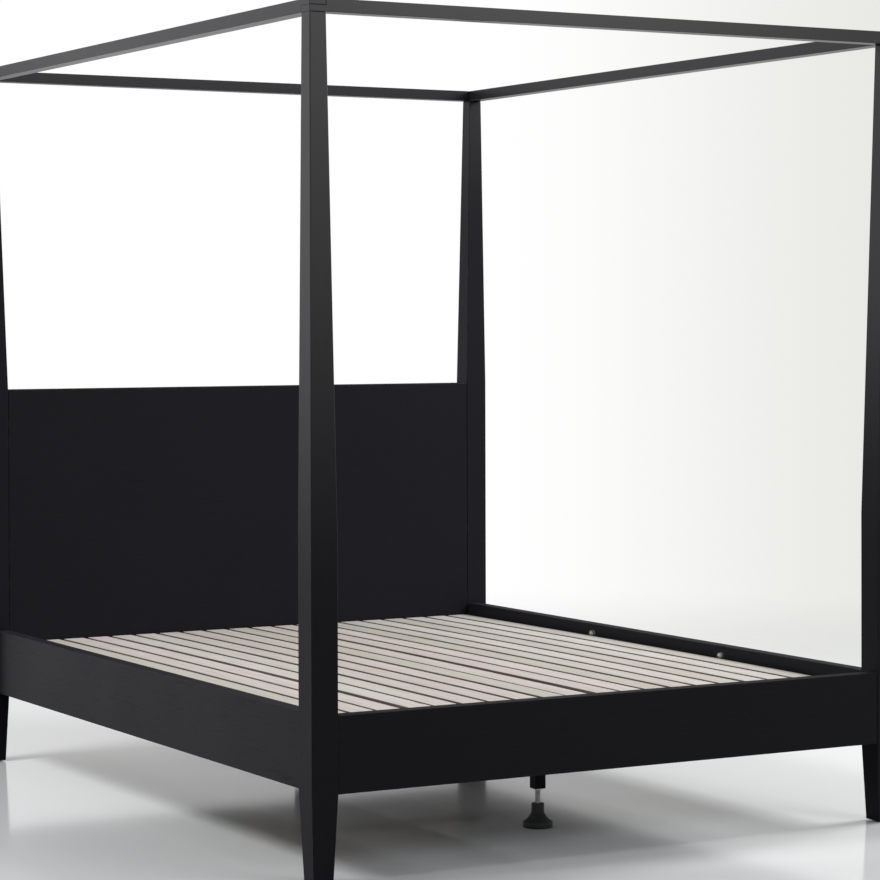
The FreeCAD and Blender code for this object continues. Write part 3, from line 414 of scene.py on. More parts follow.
zinc_steel = steel("zinc_steel", colour(176, 177, 180), colour(206, 206, 206), 0.48)
bronzed_steel = steel("bronzed_steel", colour(112, 106, 92), colour(140, 134, 120), 0.62)
print("platings:", zinc_steel.name, bronzed_steel.name)

# %% Moulded plastic
PLASTIC = colour(22, 22, 24)
PLASTIC_DUSTY = colour(38, 37, 37)
spark_pits = 0.0002


def moulded(recipe):
    pits = recipe.noise(recipe.places(), scale=1600.0, detail=2.0)
    dust = recipe.noise(recipe.places(), scale=30.0, detail=4.0)
    tone = recipe.mix(recipe.spread(dust, 0.4, 0.8), PLASTIC, PLASTIC_DUSTY)
    bump = recipe.node("Bump", strength=0.3, distance=spark_pits, height=pits)
    return {"Base Color": tone, "Roughness": 0.46 + 0.14 * dust, "Normal": bump}


black_plastic = finish("black_plastic", {"Specular IOR Level": 0.45}, moulded)

# %% Woven tape
TAPE_THREAD = colour(30, 28, 27)
TAPE_CROSSING = colour(58, 54, 50)
TAPE_LINT = colour(86, 80, 74)
weave_relief = 0.0006


def ripples(recipe, direction):
    return recipe.node("TexWave", {"bands_direction": direction}, vector=recipe.places(),
                       scale=105.0, distortion=0.3).output("Fac")


def weave(recipe):
    cross = recipe.sum("ABSOLUTE", ripples(recipe, "X") - ripples(recipe, "Y"))
    lint = recipe.noise(recipe.places(), scale=500.0)
    tone = recipe.mix(cross, TAPE_THREAD, TAPE_CROSSING)
    tone = recipe.mix(recipe.spread(lint, 0.55, 0.8) * 0.4, tone, TAPE_LINT)
    height = cross + lint * 0.3
    bump = recipe.node("Bump", strength=0.6, distance=weave_relief, height=height)
    return {"Base Color": tone, "Roughness": 0.85 + 0.1 * lint, "Normal": bump}


tape_fabric = finish("tape_fabric", {"Specular IOR Level": 0.2, "Sheen Weight": 0.3}, weave)

# %% Beech of the dowels
BEECH = colour(205, 170, 130)
BEECH_FLECK = colour(178, 138, 98)
beech_relief = 0.0003


def beech(recipe):
    fleck_places = recipe.places(drawn_out("z", lengthwise=60, crosswise=300))
    flecks = recipe.noise(fleck_places, scale=2.0, detail=4.0)
    tone = recipe.mix(recipe.spread(flecks, 0.4, 0.7), BEECH, BEECH_FLECK)
    bump = recipe.node("Bump", strength=0.2, distance=beech_relief, height=flecks)
    return {"Base Color": tone, "Roughness": 0.6 + 0.1 * flecks, "Normal": bump}


dowel_wood = finish("dowel_wood", dull_wood, beech)
print("made", black_plastic.name, tape_fabric.name, "and", dowel_wood.name)

# %% [markdown]
# Operators act on whatever is selected, so every step starts from a clean selection. These helpers
# do what a hand does before each move: pick one piece, open it in edit mode, and click the faces
# that lie in the right place. A face looks a given way when most of its normal points that way. A
# block is the cube from which most wooden pieces are shaped, and a slice cuts it right through.

# %% Picking pieces and faces
UP = 2
facing_share = 0.9


def alone(piece):
    bpy.ops.object.select_all(action="DESELECT")
    piece.select_set(True)
    bpy.context.view_layer.objects.active = piece


def edit(piece, pick="FACE"):
    alone(piece)
    bpy.ops.object.mode_set(mode="EDIT")
    bpy.ops.mesh.select_mode(type=pick)
    bpy.ops.mesh.select_all(action="DESELECT")


def close_edit():
    bpy.ops.object.mode_set(mode="OBJECT")


def pick_faces(piece, test):
    mesh = bmesh.from_edit_mesh(piece.data)
    picked = 0
    for face in mesh.faces:
        chosen = test(face.calc_center_median(), face.normal)
        face.select_set(chosen)
        picked += chosen
    mesh.select_flush_mode()
    bmesh.update_edit_mesh(piece.data)
    return picked


def block(name, low, high):
    bpy.ops.object.select_all(action="DESELECT")
    low, high = Vector(low), Vector(high)
    bpy.ops.mesh.primitive_cube_add(size=1, location=(low + high) / 2, scale=high - low)
    piece = bpy.context.object
    piece.name = name
    bpy.ops.object.transform_apply(location=True, rotation=True, scale=True)
    return piece


def extrude(move):
    bpy.ops.mesh.extrude_region_move(TRANSFORM_OT_translate={"value": move})


def along_axis(axis, length):
    vector = Vector()
    vector[axis] = length
    return vector


def slice_at(cuts):
    for axis, place in sorted(cuts):
        bpy.ops.mesh.select_all(action="SELECT")
        bpy.ops.mesh.bisect(plane_co=along_axis(axis, place), plane_no=along_axis(axis, 1))
    bpy.ops.mesh.select_mode(type="FACE")
    bpy.ops.mesh.select_all(action="DESELECT")


# %% [markdown]
# No real edge is a knife edge. Wood is sanded, and lacquer pulls back from a sharp arris. Bevelling
# the sharp edges catches the thin lines of light that the eye reads as solid. The faces that a
# bevel leaves are narrower than it is wide, which tells them from the rest, so they are marked as
# the edge that wears. Weighted normals keep the wide faces flat while the bevels shade round.

# %% Softened edges
def mark_worn(piece, width):
    worn = piece.data.attributes.new("edge", "FLOAT", "CORNER")
    points = piece.data.vertices
    for face in piece.data.polygons:
        sides = [(points[first].co - points[second].co).length for first, second in face.edge_keys]
        for corner in face.loop_indices:
            worn.data[corner].value = 1.0 if min(sides) < width else 0.0


def soften(piece, width, steps=3, angle=30):
    edit(piece, "EDGE")
    bpy.ops.mesh.edges_select_sharp(sharpness=math.radians(angle))
    bpy.ops.mesh.bevel(offset=width, segments=steps, profile=0.5, clamp_overlap=True, affect="EDGES")
    close_edit()
    mark_worn(piece, width)
    smooth(piece)


def smooth(piece):
    alone(piece)
    bpy.ops.object.shade_smooth()
    weights = piece.modifiers.new("weights", "WEIGHTED_NORMAL")
    weights.keep_sharp = True
    weights.weight = 80
    bpy.ops.object.modifier_apply(modifier=weights.name)


# %% [markdown]
# Each new piece rides on the same body as the CAD node that it stands for, hides that node, and
# names the material slot that it is finished with.

# %% Standing in for a CAD node
body_of_node = {name: body_of(thing)[0] for name, thing in frame["nodes"].items()}


def stand_in(piece, material, *nodes):
    piece.data.materials.clear()
    piece.data.materials.append(material)
    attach(piece, body_of_node[nodes[0]])
    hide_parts(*nodes)
    return piece


# %% [markdown]
# Fasteners of one kind share one CAD node. To set a detailed screw or nut in each place, the node's
# loose triangles are gathered into separate solids by the corners that they share, and each solid's
# box says where it sits.

# %% Places of the solids inside a shared node
same_place_digits = 5


def box_around(corners):
    low = Vector(min(corner[axis] for corner in corners) for axis in range(3))
    high = Vector(max(corner[axis] for corner in corners) for axis in range(3))
    return low, high


def solids_in(node):
    mesh = frame["nodes"][node].data
    keys = [tuple(round(value, same_place_digits) for value in vertex.co) for vertex in mesh.vertices]
    group = {key: key for key in keys}

    def leader(key):
        while group[key] != key:
            key = group[key]
        return key

    for face in mesh.polygons:
        first = leader(keys[face.vertices[0]])
        for corner in face.vertices[1:]:
            group[leader(keys[corner])] = first
    members = {}
    for key in group:
        members.setdefault(leader(key), []).append(key)
    boxes = [box_around(corners) for corners in members.values()]
    return sorted(boxes, key=lambda box: tuple(box[0]))


for node in ("rail_bolt_nuts", "hanger_bolts", "bracket_screws", "ledge_screws"):
    print(node, "has", len(solids_in(node)), "solids")

# %% [markdown]
# A post is one long tapered stick. It starts as a square at the floor and is drawn up in three
# pulls: it widens to the rails, runs straight past them, and above narrows towards the canopy. Its
# two outer faces stay upright all the way up, so only the inner faces lean, which the photograph
# shows on all four posts. That is why the last pull also slides the end towards the outer corner.

# %% Posts
rail_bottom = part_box("side_rail_left")[0].z
canopy_low, canopy_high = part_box("canopy_rail_left")
panel_low, panel_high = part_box("headboard_panel")
post_top_width = canopy_high.x - canopy_low.x
post_foot_width = 0.051
foot_post_taper_start = 0.785
post_rounding = 0.0022


def pull(height, scale, slide):
    extrude((0, 0, height))
    mesh = bmesh.from_edit_mesh(bpy.context.object.data)
    corners = [vertex.co for vertex in mesh.verts if vertex.select]
    middle = sum(corners, Vector()) / len(corners)
    bpy.ops.transform.resize(value=(scale, scale, 1), center_override=middle)
    bpy.ops.transform.translate(value=slide)


def post(node):
    low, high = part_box(node)
    width = high.x - low.x
    middle = (low + high) / 2
    side = math.copysign(1, middle.x)
    end = math.copysign(1, middle.y)
    taper_start = panel_high.z if end > 0 else foot_post_taper_start
    draw_in = (width - post_top_width) / 2
    bpy.ops.object.select_all(action="DESELECT")
    bpy.ops.mesh.primitive_plane_add(size=post_foot_width, location=(middle.x, middle.y, low.z))
    piece = bpy.context.object
    piece.name = node + "_lacquered"
    bpy.ops.object.transform_apply(location=True, rotation=True, scale=True)
    edit(piece)
    bpy.ops.mesh.select_all(action="SELECT")
    pull(rail_bottom - low.z, width / post_foot_width, (0, 0, 0))
    pull(taper_start - rail_bottom, 1, (0, 0, 0))
    pull(high.z - taper_start, post_top_width / width, (side * draw_in, end * draw_in, 0))
    bpy.ops.mesh.select_all(action="SELECT")
    bpy.ops.mesh.normals_make_consistent(inside=False)
    close_edit()
    soften(piece, post_rounding, steps=4)
    return stand_in(piece, black_lacquer["z"], node)


posts = [post(f"post_{end}_{side}") for end in ("foot", "head") for side in ("left", "right")]
print("posts:", [len(piece.data.polygons) for piece in posts], "faces")

# %% [markdown]
# Side, head and foot rails are planks on edge. Each end has two pockets in its inner face, where a
# nut is turned onto the bolt that comes out of the post. The pockets are cut as one would mark
# them out: the plank is sliced along the pocket's borders, and the squares between are pushed in.

# %% Planks with bolt pockets
nut_boxes = solids_in("rail_bolt_nuts")
nut_reach = 0.02
pocket_length = 0.034
pocket_height = 0.026
pocket_depth = 0.028
pocket_from_end = 0.0502
joint_gap = 0.0002
plank_rounding = 0.0015


def nuts_in(low, high):
    middles = [(box_low + box_high) / 2 for box_low, box_high in nut_boxes]
    return [middle for middle in middles
            if all(low[axis] - nut_reach < middle[axis] < high[axis] + nut_reach for axis in range(3))]


def pocket_at(nut, along, low, high):
    end = math.copysign(1, nut[along])
    edge = high[along] if end > 0 else low[along]
    near = edge - end * (pocket_from_end - joint_gap)
    far = edge - end * (pocket_from_end + pocket_length)
    return sorted((near, far)), (nut.z - pocket_height / 2, nut.z + pocket_height / 2)


def plank(node, along):
    low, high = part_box(node)
    across = 1 - along
    inward = -math.copysign(1, (low[across] + high[across]) / 2)
    pockets = [pocket_at(nut, along, low, high) for nut in nuts_in(low, high)]
    piece = block(node + "_lacquered", low, high)
    edit(piece)
    cuts = {(along, round(place, same_place_digits)) for borders, _ in pockets for place in borders}
    cuts |= {(UP, round(place, same_place_digits)) for _, heights in pockets for place in heights}
    slice_at(cuts)

    def in_pocket(place, normal):
        if normal[across] * inward < facing_share:
            return False
        return any(borders[0] < place[along] < borders[1] and heights[0] < place.z < heights[1]
                   for borders, heights in pockets)

    pushed = pick_faces(piece, in_pocket)
    extrude(along_axis(across, -inward * pocket_depth))
    close_edit()
    soften(piece, plank_rounding)
    print(node, "has", pushed, "pockets")
    return stand_in(piece, black_lacquer["xy"[along]], node)


for node in ("side_rail_left", "side_rail_right"):
    plank(node, along=1)
for node in ("foot_rail", "head_rail"):
    plank(node, along=0)

# %% [markdown]
# The headboard is one flat panel between the head posts. It gets a rounder edge than the rails,
# because people lean on it, and nothing else: the photograph shows it plain.

# %% Headboard
headboard_rounding = 0.004
headboard = block("headboard_panel_lacquered", panel_low, panel_high)
soften(headboard, headboard_rounding, steps=4)
stand_in(headboard, black_lacquer["x"], "headboard_panel")
print("headboard", round(panel_high.z - panel_low.z, 3), "m high")

# %% [markdown]
# The canopy is a square of slim bars, half lapped at the corners: the side bars keep the upper half
# of each lap and the end bars the lower half. In the photograph the seam shows as a fine line
# round the corner. A bar is a block as long as its full section, and its lap is drawn out of the
# upper or lower half of its end face. A countersunk seat takes each corner screw.

# %% Holes
hole_sides = 48


def carve(piece, cutter):
    alone(piece)
    hole = piece.modifiers.new("hole", "BOOLEAN")
    hole.operation = "DIFFERENCE"
    hole.solver = "EXACT"
    hole.object = cutter
    bpy.ops.object.modifier_apply(modifier=hole.name)
    bpy.data.objects.remove(cutter)


def drill(piece, middle, radius, bottom, top, sides=hole_sides):
    bpy.ops.object.select_all(action="DESELECT")
    bpy.ops.mesh.primitive_cylinder_add(vertices=sides, radius=radius, depth=top - bottom,
                                        location=(middle.x, middle.y, (top + bottom) / 2))
    carve(piece, bpy.context.object)


# %% Canopy bars
lap_gap = 0.0002
lap = post_top_width + lap_gap
lap_middle = (canopy_low.z + cad_box[1].z) / 2
seat_radius = 0.00575
seat_depth = 0.0033
drill_overrun = 0.01
side_bar_rounding = 0.0012
end_bar_rounding = 0.001
screw_boxes = solids_in("canopy_corner_screws")


def lapped_bar(node, along, upper):
    low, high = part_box(node)
    inner_low, inner_high = low.copy(), high.copy()
    inner_low[along] += lap
    inner_high[along] -= lap
    seam = lap_middle + lap_gap / 2 if upper else lap_middle - lap_gap / 2
    piece = block(node + "_lacquered", inner_low, inner_high)
    edit(piece)
    slice_at([(UP, seam)])
    for end in (-1, 1):
        def half_of_end(place, normal):
            return normal[along] * end > facing_share and (place.z > seam) == upper

        bpy.ops.mesh.select_all(action="DESELECT")
        pick_faces(piece, half_of_end)
        extrude(along_axis(along, end * lap))
    close_edit()
    return piece


def side_bar(node):
    piece = lapped_bar(node, along=1, upper=True)
    low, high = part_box(node)
    for screw_low, screw_high in screw_boxes:
        middle = (screw_low + screw_high) / 2
        if low.x < middle.x < high.x:
            drill(piece, middle, seat_radius, high.z - seat_depth, high.z + drill_overrun)
    soften(piece, side_bar_rounding)
    return stand_in(piece, black_lacquer["y"], node)


def end_bar(node):
    piece = lapped_bar(node, along=0, upper=False)
    soften(piece, end_bar_rounding)
    return stand_in(piece, black_lacquer["x"], node)


bars = [side_bar("canopy_rail_left"), side_bar("canopy_rail_right")]
bars += [end_bar("canopy_rail_foot"), end_bar("canopy_rail_head")]
print("canopy bars:", [len(piece.data.polygons) for piece in bars], "faces")

# %% [markdown]
# A slat is a thin board sprung into a shallow crown along its length, so that it gives under load.
# One straight board is cut into short lengths, and each cross-section is lowered to a circle
# through the crown. Its copies are then laid on the CAD slats' places, each turned a trace, as the
# slats in the photograph don't lie quite parallel.

# %% One crowned board
slat_sections = 24
slat_thickness = 0.012
slat_ease = 0.0002
slat_width = slat_high.x - slat_low.x - slat_ease
slat_rounding = 0.002
same_row = 0.0001
deck_middle = (slat_low.y + slat_high.y) / 2


def crowned_board():
    low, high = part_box("slat_10")
    length = high.y - low.y
    camber = high.z - low.z - slat_thickness
    radius = length ** 2 / (8 * camber) + camber / 2
    corner = Vector((slat_width / 2, length / 2, high.z))
    piece = block("crowned_board", (-corner.x, -corner.y, high.z - slat_thickness), corner)
    edit(piece)
    slice_at([(1, index * length / slat_sections - length / 2) for index in range(1, slat_sections)])
    mesh = bmesh.from_edit_mesh(piece.data)
    rows = sorted({round(vertex.co.y, same_place_digits) for vertex in mesh.verts})
    bpy.ops.mesh.select_mode(type="VERT")
    for row in rows:
        mesh = bmesh.from_edit_mesh(piece.data)
        for vertex in mesh.verts:
            vertex.select_set(abs(vertex.co.y - row) < same_row)
        bmesh.update_edit_mesh(piece.data)
        drop = radius - math.sqrt(radius ** 2 - row ** 2)
        bpy.ops.transform.translate(value=(0, 0, -drop))
    close_edit()
    soften(piece, slat_rounding)
    return piece


board = crowned_board()
print("one board of", len(board.data.polygons), "faces")

# %% Slats
slat_nodes = sorted(name for name in frame["nodes"] if name.startswith("slat_") and name[-2:].isdigit())
slat_end_zone = 0.01


def end_middle(node, is_end):
    across = [vertex.co.x for vertex in frame["nodes"][node].data.vertices if is_end(vertex.co.y)]
    return (min(across) + max(across)) / 2


def lay_slat(node):
    low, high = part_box(node)
    head_x = end_middle(node, lambda place: place > high.y - slat_end_zone)
    foot_x = end_middle(node, lambda place: place < low.y + slat_end_zone)
    alone(board)
    bpy.ops.object.duplicate(linked=False)
    piece = bpy.context.object
    piece.name = node + "_birch"
    piece.rotation_euler.z = math.atan2(foot_x - head_x, high.y - low.y)
    piece.location = ((head_x + foot_x) / 2, deck_middle, 0)
    bpy.ops.object.transform_apply(location=True, rotation=True, scale=True)
    return stand_in(piece, pale_slat_wood, node)


slats = [lay_slat(node) for node in slat_nodes]
bpy.data.objects.remove(board)
print(len(slats), "slats of", len(slats[0].data.polygons), "faces")

# %% [markdown]
# Ledges, crossbeams and the centre beam are plain pine, planed on all sides, with eased edges. The
# two legs under the centre beam are short lacquered blocks.

# %% Beams, ledges and legs
beam_rounding = 0.002
leg_rounding = 0.0018


def planed(node, along):
    piece = block(node + "_planed", *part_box(node))
    soften(piece, beam_rounding)
    stand_in(piece, bare_pine[along], node)


for node in ("slat_ledge_foot", "slat_ledge_head", "crossbeam_foot", "crossbeam_head"):
    planed(node, along="x")
planed("centre_beam", along="y")
for node in ("centre_leg_foot", "centre_leg_head"):
    leg = block(node + "_lacquered", *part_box(node))
    soften(leg, leg_rounding)
    stand_in(leg, black_lacquer["z"], node)
print("beams and legs done")

# %% [markdown]
# A levelling foot is a moulded pad, flared like a bell, on a threaded rod. The pad is drawn up from
# a circle, ring by ring. Each ring is a radius and a height, listed along the outline: a
# sole with an eased edge, an upright rim, the flare, and the neck that takes the rod.

# %% Levelling pads
turned_sides = 64
pad_sharp_angle = 40
pad_sole = [(0.0355, 0.0), (0.0375, 0.0012), (0.038, 0.0035)]
pad_rim = [(0.038, 0.0125), (0.0374, 0.0150), (0.0340, 0.0166)]
pad_flare = [(0.0290, 0.0202), (0.0245, 0.0250), (0.0207, 0.0302), (0.0180, 0.0345), (0.0166, 0.0380)]
pad_neck = [(0.0164, 0.0420), (0.0164, 0.0590), (0.0158, 0.0604), (0.0145, 0.0610), (0.0080, 0.0610)]


def turned(name, middle, rings):
    first_radius, first_height = rings[0]
    bpy.ops.object.select_all(action="DESELECT")
    bpy.ops.mesh.primitive_circle_add(vertices=turned_sides, radius=first_radius, fill_type="NGON",
                                      location=(middle.x, middle.y, first_height))
    piece = bpy.context.object
    piece.name = name
    bpy.ops.object.transform_apply(location=True, rotation=True, scale=True)
    edit(piece)
    bpy.ops.mesh.select_all(action="SELECT")
    for (radius, height), (next_radius, next_height) in zip(rings, rings[1:]):
        pull(next_height - height, next_radius / radius, (0, 0, 0))
    bpy.ops.mesh.select_all(action="SELECT")
    bpy.ops.mesh.normals_make_consistent(inside=False)
    close_edit()
    return piece


def levelling_pad(node):
    low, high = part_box(node)
    rings = pad_sole + pad_rim + pad_flare + pad_neck
    piece = turned(node + "_moulded", (low + high) / 2, rings)
    alone(piece)
    bpy.ops.object.shade_smooth_by_angle(angle=math.radians(pad_sharp_angle))
    return stand_in(piece, black_plastic, node)


pads = [levelling_pad("levelling_pad_foot"), levelling_pad("levelling_pad_head")]
print("pads:", [len(piece.data.polygons) for piece in pads], "faces")

# %% [markdown]
# The rod has a real screw thread. One turn of the thread's outline is spun and raised by the Screw
# modifier as many times as the rod is long, then both ends are closed.

# %% Threaded rods
thread_pitch = 0.002
thread_depth = 0.0011
crest_start_share = 0.42
crest_end_share = 0.58
steps_per_turn = 24
same_point = 0.000001
thread_sharp_angle = 25


def thread_outline(radius):
    root = radius - thread_depth
    crest = [(radius, thread_pitch * crest_start_share), (radius, thread_pitch * crest_end_share)]
    return [(root, 0), *crest, (root, thread_pitch)]


def draw_outline(piece, outline, bottom):
    edit(piece, "VERT")
    mesh = bmesh.from_edit_mesh(piece.data)
    bmesh.ops.delete(mesh, geom=mesh.verts[:], context="VERTS")
    points = [mesh.verts.new((x, 0, bottom + z)) for x, z in outline]
    for first, second in zip(points, points[1:]):
        mesh.edges.new((first, second))
    bmesh.update_edit_mesh(piece.data)
    close_edit()


def wind(piece, turns):
    winding = piece.modifiers.new("winding", "SCREW")
    winding.screw_offset = thread_pitch
    winding.iterations = turns
    winding.steps = steps_per_turn
    winding.render_steps = steps_per_turn
    winding.use_merge_vertices = True
    winding.merge_threshold = same_point
    alone(piece)
    bpy.ops.object.modifier_apply(modifier=winding.name)
    edit(piece, "EDGE")
    bpy.ops.mesh.select_all(action="SELECT")
    bpy.ops.mesh.remove_doubles(threshold=same_point)
    bpy.ops.mesh.select_all(action="SELECT")
    bpy.ops.mesh.fill_holes(sides=0)
    bpy.ops.mesh.select_all(action="SELECT")
    bpy.ops.mesh.normals_make_consistent(inside=False)
    close_edit()


def threaded_rod(node):
    low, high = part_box(node)
    middle = (low + high) / 2
    turns = int((high.z - low.z) / thread_pitch) - 1
    bpy.ops.object.select_all(action="DESELECT")
    bpy.ops.mesh.primitive_plane_add(size=thread_pitch)
    piece = bpy.context.object
    piece.name = node + "_threaded"
    draw_outline(piece, thread_outline((high.x - low.x) / 2), low.z)
    wind(piece, turns)
    piece.location = (middle.x, middle.y, 0)
    alone(piece)
    bpy.ops.object.transform_apply(location=True, rotation=True, scale=True)
    bpy.ops.object.shade_smooth_by_angle(angle=math.radians(thread_sharp_angle))
    return stand_in(piece, zinc_steel, node)


rods = [threaded_rod("levelling_rod_foot"), threaded_rod("levelling_rod_head")]
print("rods:", [len(piece.data.polygons) for piece in rods], "faces")

# %% [markdown]
# Screws and bolts are turned pieces too, drawn up from the tip: shank, underside of the head, rim
# and top. Their heads carry a recess for the tool: a hexagon for a key, or a cross for a
# screwdriver. Each is modelled once, standing on its seat at the origin with its head up, and its
# copies are turned to lie in every place of the shared node. Heads look towards the bed's middle,
# except that the canopy's screws are driven from above.

# %% Turning and laying a fastener
shank_round = 0.0012
fastener_sharp_angle = 35
dome_top_angle = math.radians(87)
origin = Vector()


def dome(radius, rim, steps):
    start = math.acos(rim / radius)
    angles = [start + (dome_top_angle - start) * step / steps for step in range(steps + 1)]
    return [(radius * math.cos(angle), radius * math.sin(angle)) for angle in angles]


def shank(radius, length, tip_share):
    return [(radius * tip_share, -length), (radius, shank_round - length), (radius, 0)]


def hexagon_key(piece, width, depth, top):
    corner_radius = width / 2 / math.cos(math.radians(30))
    drill(piece, origin, corner_radius, top - depth, 2 * top, sides=6)


def cross_recess(piece, length, width, depth, top):
    for across, along in ((length, width), (width, length)):
        slot = block("slot", (-across / 2, -along / 2, top - depth), (across / 2, along / 2, 2 * top))
        carve(piece, slot)


def lay_copies(pattern, material, node, length):
    alone(pattern)
    bpy.ops.object.shade_smooth_by_angle(angle=math.radians(fastener_sharp_angle))
    places = solids_in(node)
    for number, (low, high) in enumerate(places, start=1):
        size = high - low
        axis = max(range(3), key=lambda index: size[index])
        seat = (low + high) / 2
        towards_plus = axis == UP or seat[axis] < 0
        seat[axis] = low[axis] + length if towards_plus else high[axis] - length
        headwards = along_axis(axis, 1 if towards_plus else -1)
        alone(pattern)
        bpy.ops.object.duplicate(linked=False)
        piece = bpy.context.object
        piece.name = f"{node}_{number}"
        piece.rotation_euler = headwards.to_track_quat("Z", "Y").to_euler()
        piece.location = seat
        bpy.ops.object.transform_apply(location=True, rotation=True, scale=True)
        stand_in(piece, material, node)
    bpy.data.objects.remove(pattern)
    print(node, "laid", len(places), "times")


# %% Hanger bolts
def hanger_bolts():
    length = 0.028
    rim = 0.0115
    rim_chamfer = 0.0003
    dome_radius = 0.0125
    head = [(rim - rim_chamfer, 0), (rim, rim_chamfer)] + dome(dome_radius, rim, steps=12)
    bolt = turned("dome_bolt", origin, shank(radius=0.004, length=length, tip_share=0.8) + head)
    hexagon_key(bolt, width=0.007, depth=0.004, top=dome_radius)
    lay_copies(bolt, bronzed_steel, "hanger_bolts", length)


hanger_bolts()

# %% Canopy corner screws
def canopy_corner_screws():
    length = 0.073
    rim = 0.0055
    height = 0.003
    lower_chamfer = 0.0003
    upper_chamfer = 0.0004
    head = [(rim - lower_chamfer, 0), (rim, lower_chamfer)]
    head += [(rim, height - upper_chamfer), (rim - upper_chamfer, height)]
    screw = turned("corner_screw", origin, shank(radius=0.0035, length=length, tip_share=0.3) + head)
    hexagon_key(screw, width=0.004, depth=0.0022, top=height)
    lay_copies(screw, zinc_steel, "canopy_corner_screws", length)


canopy_corner_screws()

# %% Pan-head screws
pan_underside = [(0.0048, 0), (0.005, 0.0002)]
pan_curve = [(0.0049, 0.0011), (0.0044, 0.0018), (0.0035, 0.0023), (0.0022, 0.0025)]
pan_height = pan_curve[-1][1]


def pan_screws(node, length):
    rings = shank(radius=0.0025, length=length, tip_share=0.2) + pan_underside + pan_curve
    screw = turned("pan_screw", origin, rings)
    cross_recess(screw, length=0.0046, width=0.001, depth=0.0016, top=pan_height)
    lay_copies(screw, zinc_steel, node, length)


pan_screws("bracket_screws", length=0.030)
pan_screws("ledge_screws", length=0.062)

# %% [markdown]
# The tapes that keep the slats apart are flat woven strips. Their rims, woven denser and sealed at
# the ends, stand a hair proud of the middle.

# %% Slat tapes
rim_width = 0.002
rim_height = 0.00015


def woven_tape(index, low, high):
    piece = block(f"slat_tape_{index}", low, high)
    for up in (-1, 1):
        edit(piece)
        pick_faces(piece, lambda place, normal: normal.z * up > facing_share)
        bpy.ops.mesh.inset(thickness=rim_width)
        bpy.ops.transform.translate(value=(0, 0, -up * rim_height))
        close_edit()
    soften(piece, rim_height)
    return stand_in(piece, tape_fabric, "slat_tapes")


tapes = [woven_tape(index + 1, *corners) for index, corners in enumerate(solids_in("slat_tapes"))]
print(len(tapes), "tapes")

# %% [markdown]
# Small pressed and turned hardware keeps the CAD's form and only needs broken edges. The node's
# loose triangles are copied and merged, flat areas are dissolved into single faces, and the sharp
# edges get a narrow bevel, as tumbling leaves them.

# %% Hardware with broken edges
mesh_merge = 0.00001
flat_within = 1
steel_edges = {
    "crossbeam_hangers": 0.0006,
    "centre_beam_brackets": 0.0006,
    "rail_bolt_washers": 0.0003,
    "rail_bolt_nuts": 0.0004,
    "leg_inserts": 0.0004,
    "leg_lag_screws": 0.0006,
    "rail_bolts": 0.0006,
}
dowel_edges = {"canopy_corner_dowels": 0.0008, "headboard_dowels": 0.001}
glide_edge = 0.0006


def tumbled(node, width, material):
    mesh = frame["nodes"][node].data.copy()
    piece = bpy.data.objects.new(node + "_tumbled", mesh)
    bpy.context.collection.objects.link(piece)
    edit(piece, "VERT")
    bpy.ops.mesh.select_all(action="SELECT")
    bpy.ops.mesh.remove_doubles(threshold=mesh_merge)
    bpy.ops.mesh.select_all(action="SELECT")
    bpy.ops.mesh.dissolve_limited(angle_limit=math.radians(flat_within))
    close_edit()
    soften(piece, width, steps=2, angle=35)
    return stand_in(piece, material, node)


hardware = [tumbled(node, width, zinc_steel) for node, width in steel_edges.items()]
hardware.append(tumbled("post_glides", glide_edge, black_plastic))
hardware += [tumbled(node, width, dowel_wood) for node, width in dowel_edges.items()]
print("hardware:", [piece.name for piece in hardware])

# %% [markdown]
# The studio has a smooth pale floor with a soft gloss, so it mirrors the posts dimly. Far from the
# bed the floor fades out into the backdrop. The camera and mirrors see it nearly white, but to
# scattered light it is a dark grey: a white floor would throw so much light up under the bed that
# the deep shadow in the photograph would be lost.

# %% Floor
floor_size = 60
fade_start = 1.7
fade_end = 6.0
FLOOR_SEEN_DARK = colour(226, 228, 229)
FLOOR_SEEN_PALE = colour(232, 233, 234)
FLOOR_SCATTERING = colour(50, 50, 50)


def studio_floor():
    material = bpy.data.materials.new("studio_floor")
    material.use_nodes = True
    recipe = Recipe(material.node_tree)
    here = recipe.places()
    away = recipe.node("VectorMath", {"operation": "LENGTH"}, take=1, at0=here)
    mottle = recipe.noise(here, scale=1.3)
    tone = recipe.mix(mottle, FLOOR_SEEN_DARK, FLOOR_SEEN_PALE)
    path = recipe.node("LightPath")
    seen = path.output("Is Camera Ray") + path.output("Is Glossy Ray")
    tone = recipe.mix(seen, FLOOR_SCATTERING, tone)
    gloss = recipe.node("BsdfPrincipled", base_color=tone, roughness=0.08 + 0.05 * mottle)
    gloss.socket.node.inputs["Specular IOR Level"].default_value = 0.12
    clear = recipe.node("BsdfTransparent")
    surface = recipe.node("MixShader", at0=recipe.spread(away, fade_start, fade_end), at1=gloss, at2=clear)
    output = material.node_tree.nodes.new("ShaderNodeOutputMaterial")
    material.node_tree.links.new(surface.socket, output.inputs[0])
    return material


bpy.ops.object.select_all(action="DESELECT")
bpy.ops.mesh.primitive_plane_add(size=floor_size, location=(0, 0, 0))
floor = bpy.context.object
floor.name = "studio_floor"
floor.data.materials.append(studio_floor())
print("the floor fades out between", fade_start, "and", fade_end, "metres from the bed's middle")

# %% [markdown]
# The backdrop is white on the left and pales to a warm light grey on the right, as the photograph
# has it, and that is all that the camera and mirrors see of it. What lights the bed is the room:
# brighter and a little cooler in front than behind, dimmer overhead, and dark towards the ground,
# which keeps light from creeping in under the rails.

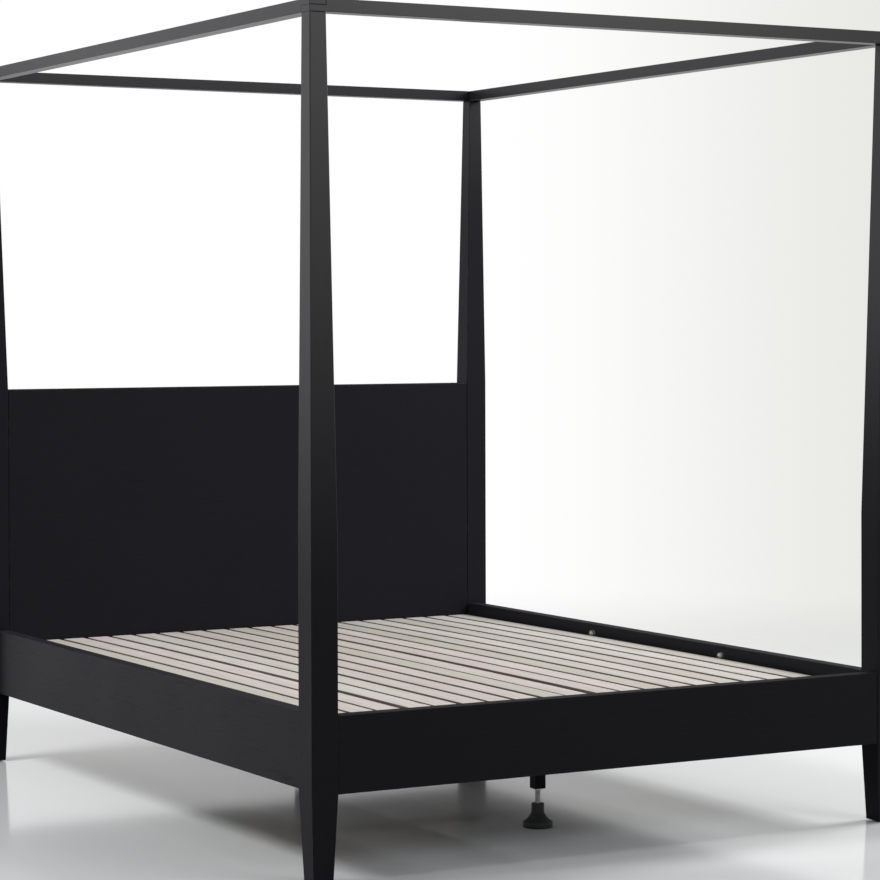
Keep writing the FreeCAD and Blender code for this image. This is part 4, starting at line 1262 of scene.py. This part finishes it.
# %% Backdrop
BACKDROP_RIGHT = colour(232, 233, 228)
BACKDROP_LEFT = colour(255, 255, 255)
ROOM_BEHIND = colour(255, 248, 242)
ROOM_IN_FRONT = colour(240, 246, 255)
left_of_bed = math.radians(-60)
in_front_of_bed = math.radians(150)

world = bpy.data.worlds.new("studio")
bpy.context.scene.world = world
world.use_nodes = True
recipe = Recipe(world.node_tree)
direction = recipe.node("TexCoord", take=0)


def towards(heading):
    bearing = (math.sin(heading), math.cos(heading), 0)
    return recipe.node("VectorMath", {"operation": "DOT_PRODUCT"}, take=1, at0=direction, at1=bearing)


leftward = recipe.spread(towards(left_of_bed), -0.16, 0.0)
backdrop_tone = recipe.mix(leftward, BACKDROP_RIGHT, BACKDROP_LEFT)
frontward = towards(in_front_of_bed)
height = recipe.node("SeparateXYZ", vector=direction).output("Z")
front_light = recipe.spread(frontward, -0.8, 0.8, 0.68, 0.82)
dimmer_overhead = recipe.spread(height, 0.3, 0.85, 1.0, 0.4)
dark_below = recipe.spread(height, 0.12, 0.5, 0.0, 1.0)
room_light = front_light * dimmer_overhead * dark_below
room_tone = recipe.mix(recipe.spread(frontward, -0.5, 0.5), ROOM_BEHIND, ROOM_IN_FRONT)
path = recipe.node("LightPath")
mirrored = path.output("Is Glossy Ray") + path.output("Is Transmission Ray")
direct = recipe.sum("ADD", path.output("Is Camera Ray"), mirrored, clamp=True)
sky = recipe.mix(direct, room_tone, backdrop_tone)
background = recipe.node("Background", color=sky, strength=direct + (1 - direct) * room_light)
world_output = recipe.tree.nodes.new("ShaderNodeOutputWorld")
recipe.tree.links.new(background.socket, world_output.inputs[0])
print("the backdrop has", len(recipe.tree.nodes), "nodes")

# %% [markdown]
# Two softboxes stand high at the bed's sides, so that their light falls steeply past the rails and
# the floor under the bed stays dark. A weaker one in front lifts the near post and the foot rail.
# Powers are in watts. Blender's Standard view shows the light as it is, without a film's curve.

# %% Lamps
def softbox(name, place, aim, size, power):
    lamp = bpy.data.lights.new(name, "AREA")
    lamp.shape = "SQUARE"
    lamp.size = size
    lamp.energy = power
    holder = bpy.data.objects.new(name, lamp)
    bpy.context.collection.objects.link(holder)
    holder.location = place
    holder.rotation_euler = (Vector(aim) - Vector(place)).to_track_quat("-Z", "Y").to_euler()
    print(name, "gives", power, "watts")


softbox("left_softbox", place=(-3.4, 0.6, 4.0), aim=(-1.0, 0.0, 0), size=1.4, power=130)
softbox("right_softbox", place=(3.8, -0.8, 3.2), aim=(0.0, -0.4, 0), size=1.4, power=135)
softbox("front_softbox", place=(2.4, -5.6, 3.4), aim=(0, -0.6, 1.0), size=2.2, power=72)
bpy.context.scene.view_settings.view_transform = "Standard"
